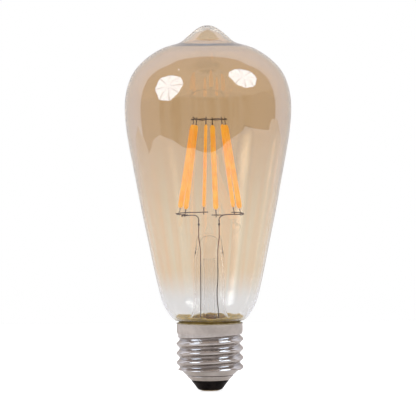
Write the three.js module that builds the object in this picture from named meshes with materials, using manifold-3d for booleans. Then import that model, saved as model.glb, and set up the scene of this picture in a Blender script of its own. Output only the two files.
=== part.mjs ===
// A pear-shaped (ST64) LED filament lamp on an E27 screw cap, with a small radio driver in the cap.
// Millimetres, +Z up. The origin is the middle of the centre contact's flat face, and +Z runs up the
// lamp's axis to the glass tip. +X is right, and -Y is towards the viewer.
import * as THREE from "three";
import { mergeVertices } from "three/addons/utils/BufferGeometryUtils.js";
import Module from "manifold-3d";

const wasm = await Module();
wasm.setup();

// ---------------------------------------------------------------- driving dimensions

const gap = 0.15; // clearance between two pieces that touch on the real lamp

const bulb = {
  radius: 32.25, // at the widest place
  widestZ: 109.7,
  topZ: 141.7,
  wall: 0.8,
  neckRadius: 11.6, // the part that goes down into the cap
  neckEndZ: 24.6,
  neckWall: 1.0,
};

const cap = {
  rimZ: 26.3,
  collarRadius: 12.8,
  wall: 0.35,
  crestRadius: 13.05, // E27: 26.05 to 26.45 mm over the crests
  rootRadius: 11.8,
  pitch: 3.629, // seven turns to the inch
  crestAtRightZ: 16.35, // height of a crest on the +X side
  threadTopZ: 21.8,
  threadEndZ: 8.2,
  lipRadius: 7.4,
  lipZ: 4.1,
};

const insulator = { footRadius: 4.4, footZ: 0.4, holeRadius: 2.1, bossRadius: 3.2, topZ: 7.6 };
const contact = { headRadius: 4.0, faceRadius: 3.4, headTopZ: 1.15, shankRadius: 1.3, shankTopZ: 6.8 };

const stem = {
  tubeRadius: 5.8,
  footTubeRadius: 6.1,
  wall: 0.9,
  flareRadius: 10.3, // the trumpet end, sealed to the bulb's neck
  flareZ: 26.7,
  pinchStartZ: 52,
  pinchEndZ: 58,
  topZ: 61,
  flatness: 0.42, // how much of its depth the pressed end keeps
  tipZ: 65.1,
};

const exhaust = { radius: 2.6, bore: 1.8, sealedEndZ: 20.4, topZ: 51.2 };

// The cage of six filaments leans in towards the top.
const cage = {
  count: 6,
  firstAngle: THREE.MathUtils.degToRad(10.9), // from the front, turning to the right
  shiftX: 0.4, // the cage sits a little right of the axis
  topRadius: 6.7,
  topZ: 103.2,
  footRadius: 12.2,
  footZ: 70.9,
};
cage.slope = (cage.footRadius - cage.topRadius) / (cage.topZ - cage.footZ);
cage.lean = Math.atan(cage.slope);
cage.length = Math.hypot(cage.topZ - cage.footZ, cage.footRadius - cage.topRadius);

const filament = {
  width: 2.2,
  depth: 1.2,
  facing: [0, 0, 50, 90, 0, 25], // degrees that each broad side is turned from the viewer
  slot: [1.1, 0.7],
  strip: [0.8, 0.25],
  dies: 9,
  dieHeight: 0.12,
  tabWidth: 0.5,
  tabThickness: 0.2,
  tabInside: 1.6, // how far a tab reaches into the coat
  tabOutside: 3.05,
};

const wireRadius = {
  ring: 0.25,
  innerLead: 0.23,
  sealWire: 0.22,
  outerLead: 0.2,
  neutral: 0.35,
  antenna: 0.3,
  fuse: 0.25,
};

const topRingZ = 105.3;
const lowerArcZ = 68.8;
// The rings run just outside the tabs that are welded to them.
const ringOffset = filament.tabThickness / 2 + wireRadius.ring + gap;
const topRingRadius = cage.topRadius - (topRingZ - cage.topZ) * cage.slope + ringOffset;
const lowerArcRadius = cage.footRadius + (cage.footZ - lowerArcZ) * cage.slope + ringOffset;

const lead = {
  lowX: 3.35, // beside the exhaust tube
  highX: 3.95, // above the pressed glass
  boardX: 3.6,
  weldZ: 64.6, // the knot where the inner lead is welded to the seal wire
  weldRadius: 0.42,
  sealFootZ: 50,
  bendZ: 67.1,
  endZ: lowerArcZ - wireRadius.ring - wireRadius.innerLead - 0.1,
};

const board = { radius: 9.6, bottomZ: 17.6, thickness: 1, holeClearance: 0.3 };
board.topZ = board.bottomZ + board.thickness;
board.hangZ = board.bottomZ - gap; // where the pieces under the board start

// The driver's pieces: [x, y] is the middle of each, seen from above.
const fuse = { bodyRadius: 1.25, bodyBottomZ: 10.2, bodyTopZ: 15, bendZ: 8.5, tailEndZ: 3 };
const capacitor = { radius: 3.15, bottomZ: 10, place: [5.2, 3.5], crimp: 0.3 };
const choke = { flangeRadius: 2.6, coilRadius: 2.05, bottomZ: 10.8, flange: 0.8, place: [-5.2, 3] };
const varistorDisc = { radius: 3, thickness: 2.2, place: [4.5, -3.6] };
const rectifierBody = { size: [4.6, 3.8, 1.5], place: [-4.4, -3.4] };
const driverChipBody = { size: [4.9, 3.9, 1.5], place: [0, -5.6] };
const radioBoardBody = { size: [10, 0.8, 7.4], place: [0, -7.9] };
const radioChipBody = { size: [4, 0.8, 4], z: 13 };
const antenna = { radius: 5.2, riseZ: 20.6, loopZ: 22.4, fromDegrees: 192, toDegrees: 470 };
const neutral = { bendX: 10.75, startX: 8.6, blob: [0.72, 1.6, 1.3], blobX: 10.6 };

const colour = {
  amberGlass: 0xd9a86c,
  clearGlass: 0xe8ecec,
  nickel: 0xb9b3b0,
  black: 0x1c191a,
  brass: 0xc8a050,
  cement: 0xa98a52,
  wire: 0x6f625c,
  copper: 0xa8664a,
  phosphor: 0xf7a531,
  ceramic: 0xe9e6df,
  tab: 0x4c3b2c,
  circuit: 0x2f6b45,
  capSleeve: 0x24324a,
  ferrite: 0x3c3a3c,
  varistorBlue: 0x2f5fa0,
  resistorBody: 0x6f8f9a,
  chip: 0x202022,
  solder: 0xa6a8ab,
  radioBoard: 0x1f2b4c,
};

// ---------------------------------------------------------------- ways to make a solid

const lamp = new THREE.Group();

function material(hex, roughness, metalness, opacity = 1) {
  return new THREE.MeshStandardMaterial({
    color: hex,
    roughness,
    metalness,
    opacity,
    transparent: opacity < 1,
  });
}

function add(name, geometry, look, parent = lamp) {
  const mesh = new THREE.Mesh(geometry, look);
  mesh.name = name;
  parent.add(mesh);
  return mesh;
}

// An outline of (radius, height) points, outside going up and inside coming down, turned about Z.
function turned(outline, segments) {
  return new THREE.LatheGeometry(outline, segments).rotateX(Math.PI / 2);
}

function points(pairs) {
  return pairs.map(([r, z]) => new THREE.Vector2(r, z));
}

// The same points with the first repeated at the end, for a ring that doesn't reach the axis.
function closed(outline) {
  return [...outline, outline[0].clone()];
}

// Each point moved inwards, square to the outline, by the wall's thickness.
function offsetInwards(outline, wall) {
  return outline.map((p, i) => {
    const before = outline[Math.max(i - 1, 0)];
    const after = outline[Math.min(i + 1, outline.length - 1)];
    const along = after.clone().sub(before).normalize();
    return new THREE.Vector2(Math.max(p.x - along.y * wall, 0), p.y + along.x * wall);
  });
}

function cylinder(radius, bottomZ, topZ, x, y, segments) {
  const height = topZ - bottomZ;
  const geometry = new THREE.CylinderGeometry(radius, radius, height, segments).rotateX(Math.PI / 2);
  return geometry.translate(x, y, bottomZ + height / 2);
}

function block(width, depth, height, x, y, z) {
  return new THREE.BoxGeometry(width, depth, height).translate(x, y, z);
}

// A round wire of 8 sides along a smooth curve through these points.
function wire(places, radius, steps) {
  const section = new THREE.Shape();
  const sides = 8;
  for (let i = 0; i < sides; i++) {
    const turn = (i / sides) * 2 * Math.PI;
    const x = radius * Math.cos(turn);
    const y = radius * Math.sin(turn);
    if (i === 0) section.moveTo(x, y);
    else section.lineTo(x, y);
  }
  section.closePath();
  const knots = places.map((p) => new THREE.Vector3(...p));
  const extrudePath = new THREE.CatmullRomCurve3(knots, false, "centripetal");
  return new THREE.ExtrudeGeometry(section, { extrudePath, steps, bevelEnabled: false });
}

// Points on a level circle, at angles in degrees from the front turning to the right.
function circlePlaces(radius, z, fromDegrees, toDegrees, count) {
  const places = [];
  for (let i = 0; i <= count; i++) {
    const turn = THREE.MathUtils.degToRad(fromDegrees + ((toDegrees - fromDegrees) * i) / count);
    places.push([radius * Math.sin(turn), -radius * Math.cos(turn), z]);
  }
  return places;
}

function solidOf(geometry) {
  const bare = geometry.clone();
  bare.deleteAttribute("normal");
  bare.deleteAttribute("uv");
  const merged = mergeVertices(bare, 1e-4);
  const vertProperties = merged.attributes.position.array;
  const triVerts = new Uint32Array(merged.index.array);
  return new wasm.Manifold(new wasm.Mesh({ numProp: 3, vertProperties, triVerts }));
}

function geometryOf(solid) {
  const mesh = solid.getMesh();
  const geometry = new THREE.BufferGeometry();
  geometry.setAttribute("position", new THREE.BufferAttribute(mesh.vertProperties, 3));
  geometry.setIndex(new THREE.BufferAttribute(mesh.triVerts, 1));
  geometry.computeVertexNormals();
  return geometry;
}

// ---------------------------------------------------------------- glass

// The bulb's outside: a rounded foot over the cap, a long cone, a full shoulder and a blunt tip.
function bulbOutside() {
  const tipRadius = 5.4;
  const tipCentreZ = bulb.topZ - tipRadius;
  const tipStart = THREE.MathUtils.degToRad(50);
  const tipFoot = [tipRadius * Math.cos(tipStart), tipCentreZ + tipRadius * Math.sin(tipStart)];

  const foot = new THREE.Path()
    .moveTo(bulb.neckRadius, bulb.neckEndZ + 1.5)
    .bezierCurveTo(11.7, 26.9, 12.3, 27.0, 13.3, 27.35)
    .bezierCurveTo(16.3, 30.7, 18.95, 36.1, 19.9, 40.5)
    .getPoints(4);
  const cone = new THREE.Path()
    .moveTo(19.9, 40.5)
    .bezierCurveTo(23.75, 58.2, 27.35, 75.8, 30.4, 93.5)
    .bezierCurveTo(31.43, 99.5, bulb.radius, 104, bulb.radius, bulb.widestZ)
    .getPoints(3);
  const crown = new THREE.Path()
    .moveTo(bulb.radius, bulb.widestZ)
    .bezierCurveTo(bulb.radius, 123.2, 25.3, 130.2, 13.4, 134.3)
    .getPoints(7);
  const tip = new THREE.Path()
    .moveTo(13.4, 134.3)
    .bezierCurveTo(9.9, 135.3, 8.1, 136.7, ...tipFoot)
    .absarc(0, tipCentreZ, tipRadius, tipStart, Math.PI / 2)
    .getPoints(3);
  return [...foot, ...cone.slice(1), ...crown.slice(1), ...tip.slice(1)];
}

function glassEnvelope() {
  const outside = bulbOutside();
  outside[outside.length - 1].x = 0;
  // The inside stops short of the foot, where the glass thickens into the ring that is sealed to the stem.
  // At the top it runs straight across under the tip, which is solid glass.
  const ceilingZ = 133.5;
  const inside = offsetInwards(outside, bulb.wall).filter((p) => p.y > 30.5 && (p.y < 132 || p.x > 13));
  inside.push(...points([[8.6, ceilingZ - 0.1], [0, ceilingZ]]));
  const neckInside = bulb.neckRadius - bulb.neckWall;
  const sealRing = points([
    [14.3, 30.0],
    [12.9, 28.6],
    [11.4, 27.9],
    [neckInside, 27.2],
    [neckInside, bulb.neckEndZ],
  ]);
  const end = points([[bulb.neckRadius, bulb.neckEndZ]]);
  return turned([...inside.reverse(), ...sealRing, ...end, ...outside], 32);
}

// Flattens everything above the pinch from front to back, as the press that closes the hot tube does.
function pinch(geometry) {
  const position = geometry.attributes.position;
  for (let i = 0; i < position.count; i++) {
    const pressed = THREE.MathUtils.smoothstep(position.getZ(i), stem.pinchStartZ, stem.pinchEndZ);
    position.setY(i, position.getY(i) * (1 - (1 - stem.flatness) * pressed));
  }
  return geometry;
}

// Trumpet, tube and pressed end with its pulled tip, all one piece of clear glass.
function stemGlass() {
  const inside = new THREE.Path()
    .moveTo(0, 54)
    .bezierCurveTo(3.9, 54, 4.9, 53.5, stem.tubeRadius - stem.wall, 51)
    .lineTo(stem.footTubeRadius - stem.wall, 31.5)
    .bezierCurveTo(5.3, 27.2, 7.9, 26.6, stem.flareRadius - 0.2, stem.flareZ - 0.7)
    .getPoints(5);
  const outside = new THREE.Path()
    .moveTo(stem.flareRadius, stem.flareZ)
    .bezierCurveTo(8.6, 27.4, 6.3, 28.0, stem.footTubeRadius, 32)
    .lineTo(stem.tubeRadius, stem.pinchStartZ)
    .bezierCurveTo(5.8, 56.4, 4.9, 57, 4.7, 59.4)
    .bezierCurveTo(4.65, 60.6, 4.2, stem.topZ, 0, stem.topZ)
    .getPoints(5);
  const body = pinch(turned([...inside, ...outside], 28));

  const tip = turned(
    points([
      [0, stem.topZ - 1],
      [1.75, stem.topZ - 0.6],
      [1.6, stem.topZ + 0.6],
      [0.9, stem.topZ + 1.9],
      [0.3, stem.tipZ - 0.2],
      [0, stem.tipZ],
    ]),
    12,
  );
  let solid = solidOf(body).add(solidOf(tip));
  for (const side of [-1, 1]) {
    solid = solid.subtract(solidOf(sealWire(side, wireRadius.sealWire + gap)));
  }
  return geometryOf(solid);
}

// The thin tube that the lamp was pumped and gas-filled through, melted shut below the flare.
function exhaustTube() {
  const { radius, bore, sealedEndZ, topZ } = exhaust;
  return turned(
    points([
      [0, sealedEndZ],
      [1.3, sealedEndZ + 0.5],
      [2.3, sealedEndZ + 1.9],
      [radius, sealedEndZ + 4],
      [radius, topZ],
      [bore, topZ],
      [bore, sealedEndZ + 4],
      [0, sealedEndZ + 2],
    ]),
    16,
  );
}

// ---------------------------------------------------------------- cap

// How much of the rolled thread shows at a height: it runs out at a slant under the collar and over the cone.
function threadShare(angle, z) {
  const slant = 0.6 * Math.cos(angle);
  const top = 1 - THREE.MathUtils.smoothstep(z, cap.threadTopZ + slant - 0.9, cap.threadTopZ + slant);
  const bottom = THREE.MathUtils.smoothstep(z, cap.threadEndZ - 1.2 - slant, cap.threadEndZ - slant);
  return top * bottom;
}

function screwShell() {
  const middle = (cap.crestRadius + cap.rootRadius) / 2;
  const depth = (cap.crestRadius - cap.rootRadius) / 2;
  const outside = points([
    [cap.lipRadius - 0.15, cap.lipZ],
    [cap.lipRadius + 0.15, cap.lipZ],
    [cap.lipRadius + 1.5, cap.lipZ + 1.5],
    [cap.lipRadius + 1.9, cap.lipZ + 2],
    [10.4, 7.2],
    [middle - 1.1, 8],
  ]);
  const threadRows = 27;
  for (let i = 0; i <= threadRows; i++) {
    const z = cap.threadEndZ + ((cap.threadTopZ - cap.threadEndZ) * i) / threadRows;
    outside.push(new THREE.Vector2(i === 0 ? middle - 0.4 : middle, z));
  }
  outside.push(...points([
    [cap.collarRadius, cap.threadTopZ + 0.7],
    [cap.collarRadius, cap.rimZ],
  ]));
  const inside = points([
    [cap.collarRadius - cap.wall, cap.rimZ],
    [cap.collarRadius - cap.wall, cap.threadTopZ + 0.4],
    [cap.rootRadius - cap.wall, cap.threadTopZ - 0.6],
    [cap.rootRadius - cap.wall, 9],
    [10.1, 7.55],
    [cap.lipRadius - 0.15, cap.lipZ + 0.75],
  ]);
  const geometry = turned(closed([...outside, ...inside]), 36);
  const position = geometry.attributes.position;
  const spot = new THREE.Vector3();
  for (let i = 0; i < position.count; i++) {
    spot.fromBufferAttribute(position, i);
    const radius = Math.hypot(spot.x, spot.y);
    const isInside = radius < cap.rootRadius - cap.wall / 2 && spot.z > 7.8;
    if (isInside || spot.z < cap.threadEndZ - 0.1 || spot.z > cap.threadTopZ + 0.1) continue;
    const angle = Math.atan2(spot.y, spot.x);
    const crest = Math.cos((2 * Math.PI * (spot.z - cap.crestAtRightZ)) / cap.pitch - angle);
    const grown = 1 + (threadShare(angle, spot.z) * depth * crest) / radius;
    position.setXY(i, spot.x * grown, spot.y * grown);
  }
  return geometry;
}

function capInsulator() {
  const { footRadius, footZ, holeRadius, bossRadius, topZ } = insulator;
  const recess = contact.headRadius + gap;
  return turned(
    closed(
      points([
        [footRadius, footZ],
        [cap.lipRadius - 0.1, cap.lipZ - gap],
        [cap.lipRadius - 0.35, cap.lipZ - gap],
        [cap.lipRadius - 0.35, cap.lipZ + 0.7],
        [9.6, 7.35],
        [9.1, 7.5],
        [bossRadius + 0.6, 5.6],
        [bossRadius, topZ],
        [holeRadius, topZ],
        [holeRadius, contact.headTopZ + gap],
        [recess, contact.headTopZ + gap],
        [recess, footZ + 0.15],
      ]),
    ),
    32,
  );
}

// A flat-headed pin that is pressed up into the insulator and traps the live wire beside its shank.
function contactPin() {
  const { headRadius, faceRadius, headTopZ, shankRadius, shankTopZ } = contact;
  return turned(
    points([
      [0, 0],
      [faceRadius, 0],
      [headRadius, 0.45],
      [headRadius, headTopZ],
      [shankRadius, headTopZ],
      [shankRadius, shankTopZ - 0.6],
      [0.5, shankTopZ],
      [0, shankTopZ],
    ]),
    24,
  );
}

// A ring of baked cement that grips the neck of the bulb on both sides and glues it into the collar.
function cappingCement() {
  const outer = cap.collarRadius - cap.wall - gap;
  const neckOut = bulb.neckRadius + gap;
  const neckIn = bulb.neckRadius - bulb.neckWall - gap;
  return turned(
    closed(
      points([
        [9.0, 21.4],
        [11.0, 20.9],
        [outer - 0.4, 22.3],
        [outer, 22.8],
        [outer, 26.5],
        [neckOut + 0.15, 26.3],
        [neckOut, 25.7],
        [neckOut, bulb.neckEndZ - gap],
        [neckIn, bulb.neckEndZ - gap],
        [neckIn, 25.4],
        [8.6, 25.0],
      ]),
    ),
    32,
  );
}

// ---------------------------------------------------------------- leads, rings and filaments

function sealWire(side, radius) {
  return wire(
    [
      [side * lead.lowX, 0, lead.sealFootZ],
      [side * lead.lowX, 0, stem.pinchStartZ + 1],
      [side * lead.highX, 0, stem.topZ - 0.5],
      [side * lead.highX, 0, lead.weldZ - 0.55],
    ],
    radius,
    8,
  );
}

// From the driver board up beside the exhaust tube. The right one has a soft kink halfway.
function outerLead(side, kink) {
  const top = lead.sealFootZ - gap;
  return wire(
    [
      [side * lead.boardX, 0, board.bottomZ - 0.7],
      [side * lead.boardX, 0, 22],
      [side * (lead.lowX + 0.1), 0, 30],
      [side * (lead.lowX - kink), 0, 37],
      [side * lead.lowX, 0, 45],
      [side * lead.lowX, 0, top],
    ],
    wireRadius.outerLead,
    12,
  );
}

// From the weld knot up and out to the underside of its lower arc, at this angle round the cage.
function innerLead(side, endAngleDegrees) {
  const turn = THREE.MathUtils.degToRad(endAngleDegrees);
  const endX = cage.shiftX + lowerArcRadius * Math.sin(turn);
  const endY = -lowerArcRadius * Math.cos(turn);
  const x = side * lead.highX;
  const bent = 0.22; // the share of the way out where the bend is complete
  const stalk = wire(
    [
      [x, 0, lead.weldZ],
      [x, 0, lead.bendZ - 0.8],
      [x, 0, lead.bendZ],
      [THREE.MathUtils.lerp(x, endX, bent), endY * bent, lead.endZ - 0.1],
      [THREE.MathUtils.lerp(x, endX, 0.6), endY * 0.6, lead.endZ],
      [endX, endY, lead.endZ],
    ],
    wireRadius.innerLead,
    14,
  );
  const knot = new THREE.SphereGeometry(lead.weldRadius, 10, 6).translate(x, 0, lead.weldZ);
  return geometryOf(solidOf(stalk).add(solidOf(knot)));
}

function coat() {
  const half = cage.length / 2;
  const capsule = turned(
    points([
      [0, -half],
      [0.6, -half + 0.15],
      [1, -half + 1.1],
      [1, half - 1.1],
      [0.6, half - 0.15],
      [0, half],
    ]),
    12,
  ).scale(filament.width / 2, filament.depth / 2, 1);
  const [slotWidth, slotDepth] = filament.slot;
  const slot = block(slotWidth, slotDepth, cage.length + 2, 0, 0, 0);
  return geometryOf(solidOf(capsule).subtract(solidOf(slot)));
}

// A ceramic strip with a row of raised light-emitting dies on its front.
function stripWithDies() {
  const [width, thickness] = filament.strip;
  const half = cage.length / 2 - filament.tabInside - gap;
  const pitch = (2 * half) / filament.dies;
  const side = new THREE.Shape().moveTo(-half, 0);
  for (let i = 0; i < filament.dies; i++) {
    const start = -half + pitch * (i + 0.3);
    const end = -half + pitch * (i + 0.7);
    side.lineTo(start, 0).lineTo(start, -filament.dieHeight).lineTo(end, -filament.dieHeight).lineTo(end, 0);
  }
  side.lineTo(half, 0).lineTo(half, thickness).lineTo(-half, thickness).closePath();
  const geometry = new THREE.ExtrudeGeometry(side, { depth: width, bevelEnabled: false });
  // The outline runs along X and Y: stand it up so that its length is Z and its dies face -Y.
  return geometry.translate(0, -thickness / 2, -width / 2).rotateY(-Math.PI / 2);
}

function tab(end) {
  const length = filament.tabInside + filament.tabOutside;
  const middle = cage.length / 2 + (filament.tabOutside - filament.tabInside) / 2;
  return block(filament.tabWidth, filament.tabThickness, length, 0, 0, end * middle);
}

// ---------------------------------------------------------------- driver, inside the cap

function driverBoard() {
  const { radius, bottomZ, topZ } = board;
  let solid = solidOf(cylinder(radius, bottomZ, topZ, 0, 0, 28));
  const holeRadius = wireRadius.outerLead + board.holeClearance;
  for (const side of [-1, 1]) {
    const hole = cylinder(holeRadius, bottomZ - 1, topZ + 1, side * lead.boardX, 0, 12);
    solid = solid.subtract(solidOf(hole));
  }
  return geometryOf(solid);
}

// The live wire from the board, through a fusible resistor, down beside the contact pin's shank.
function fuseResistor() {
  const { bodyRadius, bodyBottomZ, bodyTopZ, bendZ, tailEndZ } = fuse;
  const body = cylinder(bodyRadius, bodyBottomZ, bodyTopZ, 0, 0, 14);
  const leadX = (contact.shankRadius + insulator.holeRadius) / 2;
  const tail = wire(
    [
      [0, 0, bodyTopZ + 0.5],
      [0, 0, (bodyTopZ + bodyBottomZ) / 2],
      [0, 0, bodyBottomZ - 0.6],
      [leadX * 0.7, 0, bendZ],
      [leadX, 0, insulator.topZ - 0.4],
      [leadX, 0, tailEndZ],
    ],
    wireRadius.fuse,
    12,
  );
  const upper = wire([[0, 0, bodyTopZ - 1], [0, 0, board.hangZ]], wireRadius.fuse, 1);
  return geometryOf(solidOf(body).add(solidOf(tail)).add(solidOf(upper)));
}

// A crimped aluminium can in a plastic sleeve, hanging from the board.
function smoothingCapacitor() {
  const { radius, bottomZ, crimp, place } = capacitor;
  const top = board.hangZ;
  const outline = points([
    [0, bottomZ],
    [radius - 0.55, bottomZ],
    [radius, bottomZ + 0.4],
    [radius, top - 1 - 2 * crimp],
    [radius - crimp, top - 1 - crimp],
    [radius, top - 1],
    [radius, top],
    [0, top],
  ]);
  return turned(outline, 18).translate(...place, 0);
}

// A drum core between two flanges, wound with enamelled wire.
function inductor() {
  const { flangeRadius, coilRadius, bottomZ, flange, place } = choke;
  const top = board.hangZ;
  const outline = points([
    [0, bottomZ],
    [flangeRadius, bottomZ],
    [flangeRadius, bottomZ + flange],
    [coilRadius, bottomZ + flange],
    [coilRadius, top - flange],
    [flangeRadius, top - flange],
    [flangeRadius, top],
    [0, top],
  ]);
  return turned(outline, 18).translate(...place, 0);
}

function varistor() {
  const { radius, thickness, place } = varistorDisc;
  const disc = new THREE.CylinderGeometry(radius, radius, thickness, 18);
  return disc.translate(...place, board.hangZ - radius);
}

// Rests against the inside of the shell: the neutral wire, pressed to the wall by its solder.
const neutralPlaces = [
  [neutral.startX, 0, board.topZ + wireRadius.neutral + gap],
  [neutral.startX + 0.8, 0, board.topZ + 0.9],
  [neutral.bendX - 0.35, 0, board.topZ + 0.3],
  [neutral.bendX, 0, board.topZ - 1.2],
  [neutral.bendX, 0, board.topZ - 4],
];

function neutralWire() {
  return wire(neutralPlaces, wireRadius.neutral, 10);
}

function neutralSolder() {
  const blob = new THREE.SphereGeometry(1, 12, 8).scale(...neutral.blob);
  blob.translate(neutral.blobX, 0, board.topZ - 2.6);
  const groove = wire(neutralPlaces, wireRadius.neutral + gap, 10);
  const core = solidOf(blob).subtract(solidOf(groove));
  const [largest] = core.decompose().sort((a, b) => b.volume() - a.volume());
  return geometryOf(largest);
}

// The radio's aerial: a loop round the exhaust tube, as high as the cap's metal allows.
function antennaLoop() {
  const { radius, riseZ, loopZ, fromDegrees, toDegrees } = antenna;
  const places = [
    [0, radius, board.topZ + gap],
    [0, radius, riseZ],
    ...circlePlaces(radius, loopZ, fromDegrees, toDegrees, 8),
  ];
  return wire(places, wireRadius.antenna, 26);
}

// A moulded body that hangs under the board (side -1) or stands on it (side 1).
function boardBody({ size, place }, side) {
  const [width, depth, height] = size;
  const middleZ = side < 0 ? board.hangZ - height / 2 : board.topZ + gap + height / 2;
  return block(width, depth, height, ...place, middleZ);
}

// The radio chip sits on the inner face of its upright board.
function radioChip() {
  const [width, depth, height] = radioChipBody.size;
  const [x, boardY] = radioBoardBody.place;
  const y = boardY + (radioBoardBody.size[1] + depth) / 2 + gap;
  return block(width, depth, height, x, y, radioChipBody.z);
}

// ---------------------------------------------------------------- the lamp

const clear = material(colour.clearGlass, 0.05, 0, 0.35);
add("glass_envelope", glassEnvelope(), material(colour.amberGlass, 0.05, 0, 0.4));
add("stem_glass", stemGlass(), clear);
add("exhaust_tube", exhaustTube(), clear);

add("screw_shell", screwShell(), material(colour.nickel, 0.25, 1));
add("cap_insulator", capInsulator(), material(colour.black, 0.35, 0));
add("contact_pin", contactPin(), material(colour.brass, 0.3, 1));
add("capping_cement", cappingCement(), material(colour.cement, 0.8, 0));

const wireLook = material(colour.wire, 0.4, 1);
const copperLook = material(colour.copper, 0.4, 1);
const leadSides = [
  ["left", -1, 0, 305],
  ["right", 1, 0.35, 100.9],
];
for (const [name, side, kink, endAngle] of leadSides) {
  add(`outer_lead_${name}`, outerLead(side, kink), wireLook);
  add(`seal_wire_${name}`, sealWire(side, wireRadius.sealWire), copperLook);
  add(`inner_lead_${name}`, innerLead(side, endAngle), wireLook);
}

const cageGroup = new THREE.Group();
cageGroup.position.x = cage.shiftX;
lamp.add(cageGroup);
const lowerArcs = { left: [183, 319], right: [3, 139] };
for (const [name, [from, to]] of Object.entries(lowerArcs)) {
  const places = circlePlaces(lowerArcRadius, lowerArcZ, from, to, 8);
  add(`lower_arc_${name}`, wire(places, wireRadius.ring, 14), wireLook, cageGroup);
}
// An open ring: its two ends almost meet at the front left.
const ringPlaces = circlePlaces(topRingRadius, topRingZ, 295, 295 + 348, 14);
add("top_ring", wire(ringPlaces, wireRadius.ring, 24), wireLook, cageGroup);

const coatLook = material(colour.phosphor, 0.6, 0);
const stripLook = material(colour.ceramic, 0.6, 0);
const tabLook = material(colour.tab, 0.4, 1);
for (let i = 0; i < cage.count; i++) {
  const angle = cage.firstAngle + (i * 2 * Math.PI) / cage.count;
  const spoke = new THREE.Group();
  spoke.rotation.z = angle;
  const leaning = new THREE.Group();
  leaning.position.set(0, -(cage.topRadius + cage.footRadius) / 2, (cage.topZ + cage.footZ) / 2);
  leaning.rotation.x = -cage.lean;
  spoke.add(leaning);
  cageGroup.add(spoke);

  const number = i + 1;
  const twist = THREE.MathUtils.degToRad(filament.facing[i]) - angle;
  add(`filament_coat_${number}`, coat(), coatLook, leaning).rotation.z = twist;
  add(`filament_strip_${number}`, stripWithDies(), stripLook, leaning).rotation.z = twist;
  add(`filament_tab_top_${number}`, tab(1), tabLook, leaning);
  add(`filament_tab_foot_${number}`, tab(-1), tabLook, leaning);
}

add("driver_board", driverBoard(), material(colour.circuit, 0.5, 0));
add("fuse_resistor", fuseResistor(), material(colour.resistorBody, 0.5, 0));
add("smoothing_capacitor", smoothingCapacitor(), material(colour.capSleeve, 0.4, 0));
add("inductor", inductor(), material(colour.ferrite, 0.7, 0));
add("varistor", varistor(), material(colour.varistorBlue, 0.4, 0));
const chipLook = material(colour.chip, 0.5, 0);
add("bridge_rectifier", boardBody(rectifierBody, -1), chipLook);
add("driver_chip", boardBody(driverChipBody, 1), chipLook);
add("radio_board", boardBody(radioBoardBody, -1), material(colour.radioBoard, 0.5, 0));
add("radio_chip", radioChip(), chipLook);
add("antenna_loop", antennaLoop(), copperLook);
add("neutral_wire", neutralWire(), material(colour.solder, 0.5, 1));
add("neutral_solder", neutralSolder(), material(colour.solder, 0.35, 1));

export default lamp;
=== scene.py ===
import math

import bpy
from mathutils import Matrix, Vector, noise


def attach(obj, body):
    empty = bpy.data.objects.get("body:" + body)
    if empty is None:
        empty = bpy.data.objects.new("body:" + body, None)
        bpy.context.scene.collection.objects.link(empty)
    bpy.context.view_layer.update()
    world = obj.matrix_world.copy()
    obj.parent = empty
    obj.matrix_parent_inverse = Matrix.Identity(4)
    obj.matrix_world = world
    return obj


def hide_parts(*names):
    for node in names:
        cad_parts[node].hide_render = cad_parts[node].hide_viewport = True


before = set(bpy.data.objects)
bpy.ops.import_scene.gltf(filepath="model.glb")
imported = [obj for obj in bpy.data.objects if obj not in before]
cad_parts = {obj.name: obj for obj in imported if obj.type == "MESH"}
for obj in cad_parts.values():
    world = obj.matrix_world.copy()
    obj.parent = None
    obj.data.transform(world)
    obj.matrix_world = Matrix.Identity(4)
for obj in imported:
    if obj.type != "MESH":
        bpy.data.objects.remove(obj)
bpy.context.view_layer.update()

mm = 0.001


# helpers for modelling

def clearSelection():
    if bpy.context.mode != "OBJECT":
        bpy.ops.object.mode_set(mode="OBJECT")
    bpy.ops.object.select_all(action="DESELECT")


def pick(piece):
    clearSelection()
    piece.select_set(True)
    bpy.context.view_layer.objects.active = piece


def useModifier(piece, kind, **values):
    pick(piece)
    modifier = piece.modifiers.new(kind.lower(), kind)
    for key, value in values.items():
        setattr(modifier, key, value)
    bpy.ops.object.modifier_apply(modifier=modifier.name)


def settle(piece, smoothAngle=None):
    # the place goes into the mesh, doubles go, and the faces turn outwards
    pick(piece)
    bpy.ops.object.transform_apply(location=True, rotation=True, scale=True)
    bpy.ops.object.mode_set(mode="EDIT")
    bpy.ops.mesh.select_all(action="SELECT")
    bpy.ops.mesh.remove_doubles(threshold=0.002 * mm)
    bpy.ops.mesh.normals_make_consistent(inside=False)
    bpy.ops.object.mode_set(mode="OBJECT")
    if smoothAngle is None:
        bpy.ops.object.shade_smooth()
    else:
        bpy.ops.object.shade_smooth_by_angle(angle=math.radians(smoothAngle))


def drawCurve(name, places, resolution):
    # a smooth curve through these places, in millimetres
    clearSelection()
    bpy.ops.curve.primitive_bezier_curve_add(location=(0, 0, 0))
    drawn = bpy.context.object
    drawn.name = name
    drawn.data.dimensions = "3D"
    drawn.data.resolution_u = resolution
    spline = drawn.data.splines[0]
    spline.bezier_points.add(len(places) - 2)
    for knot, place in zip(spline.bezier_points, places):
        knot.co = [distance * mm for distance in place]
        knot.handle_left_type = knot.handle_right_type = "AUTO"
    return drawn, spline


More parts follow.
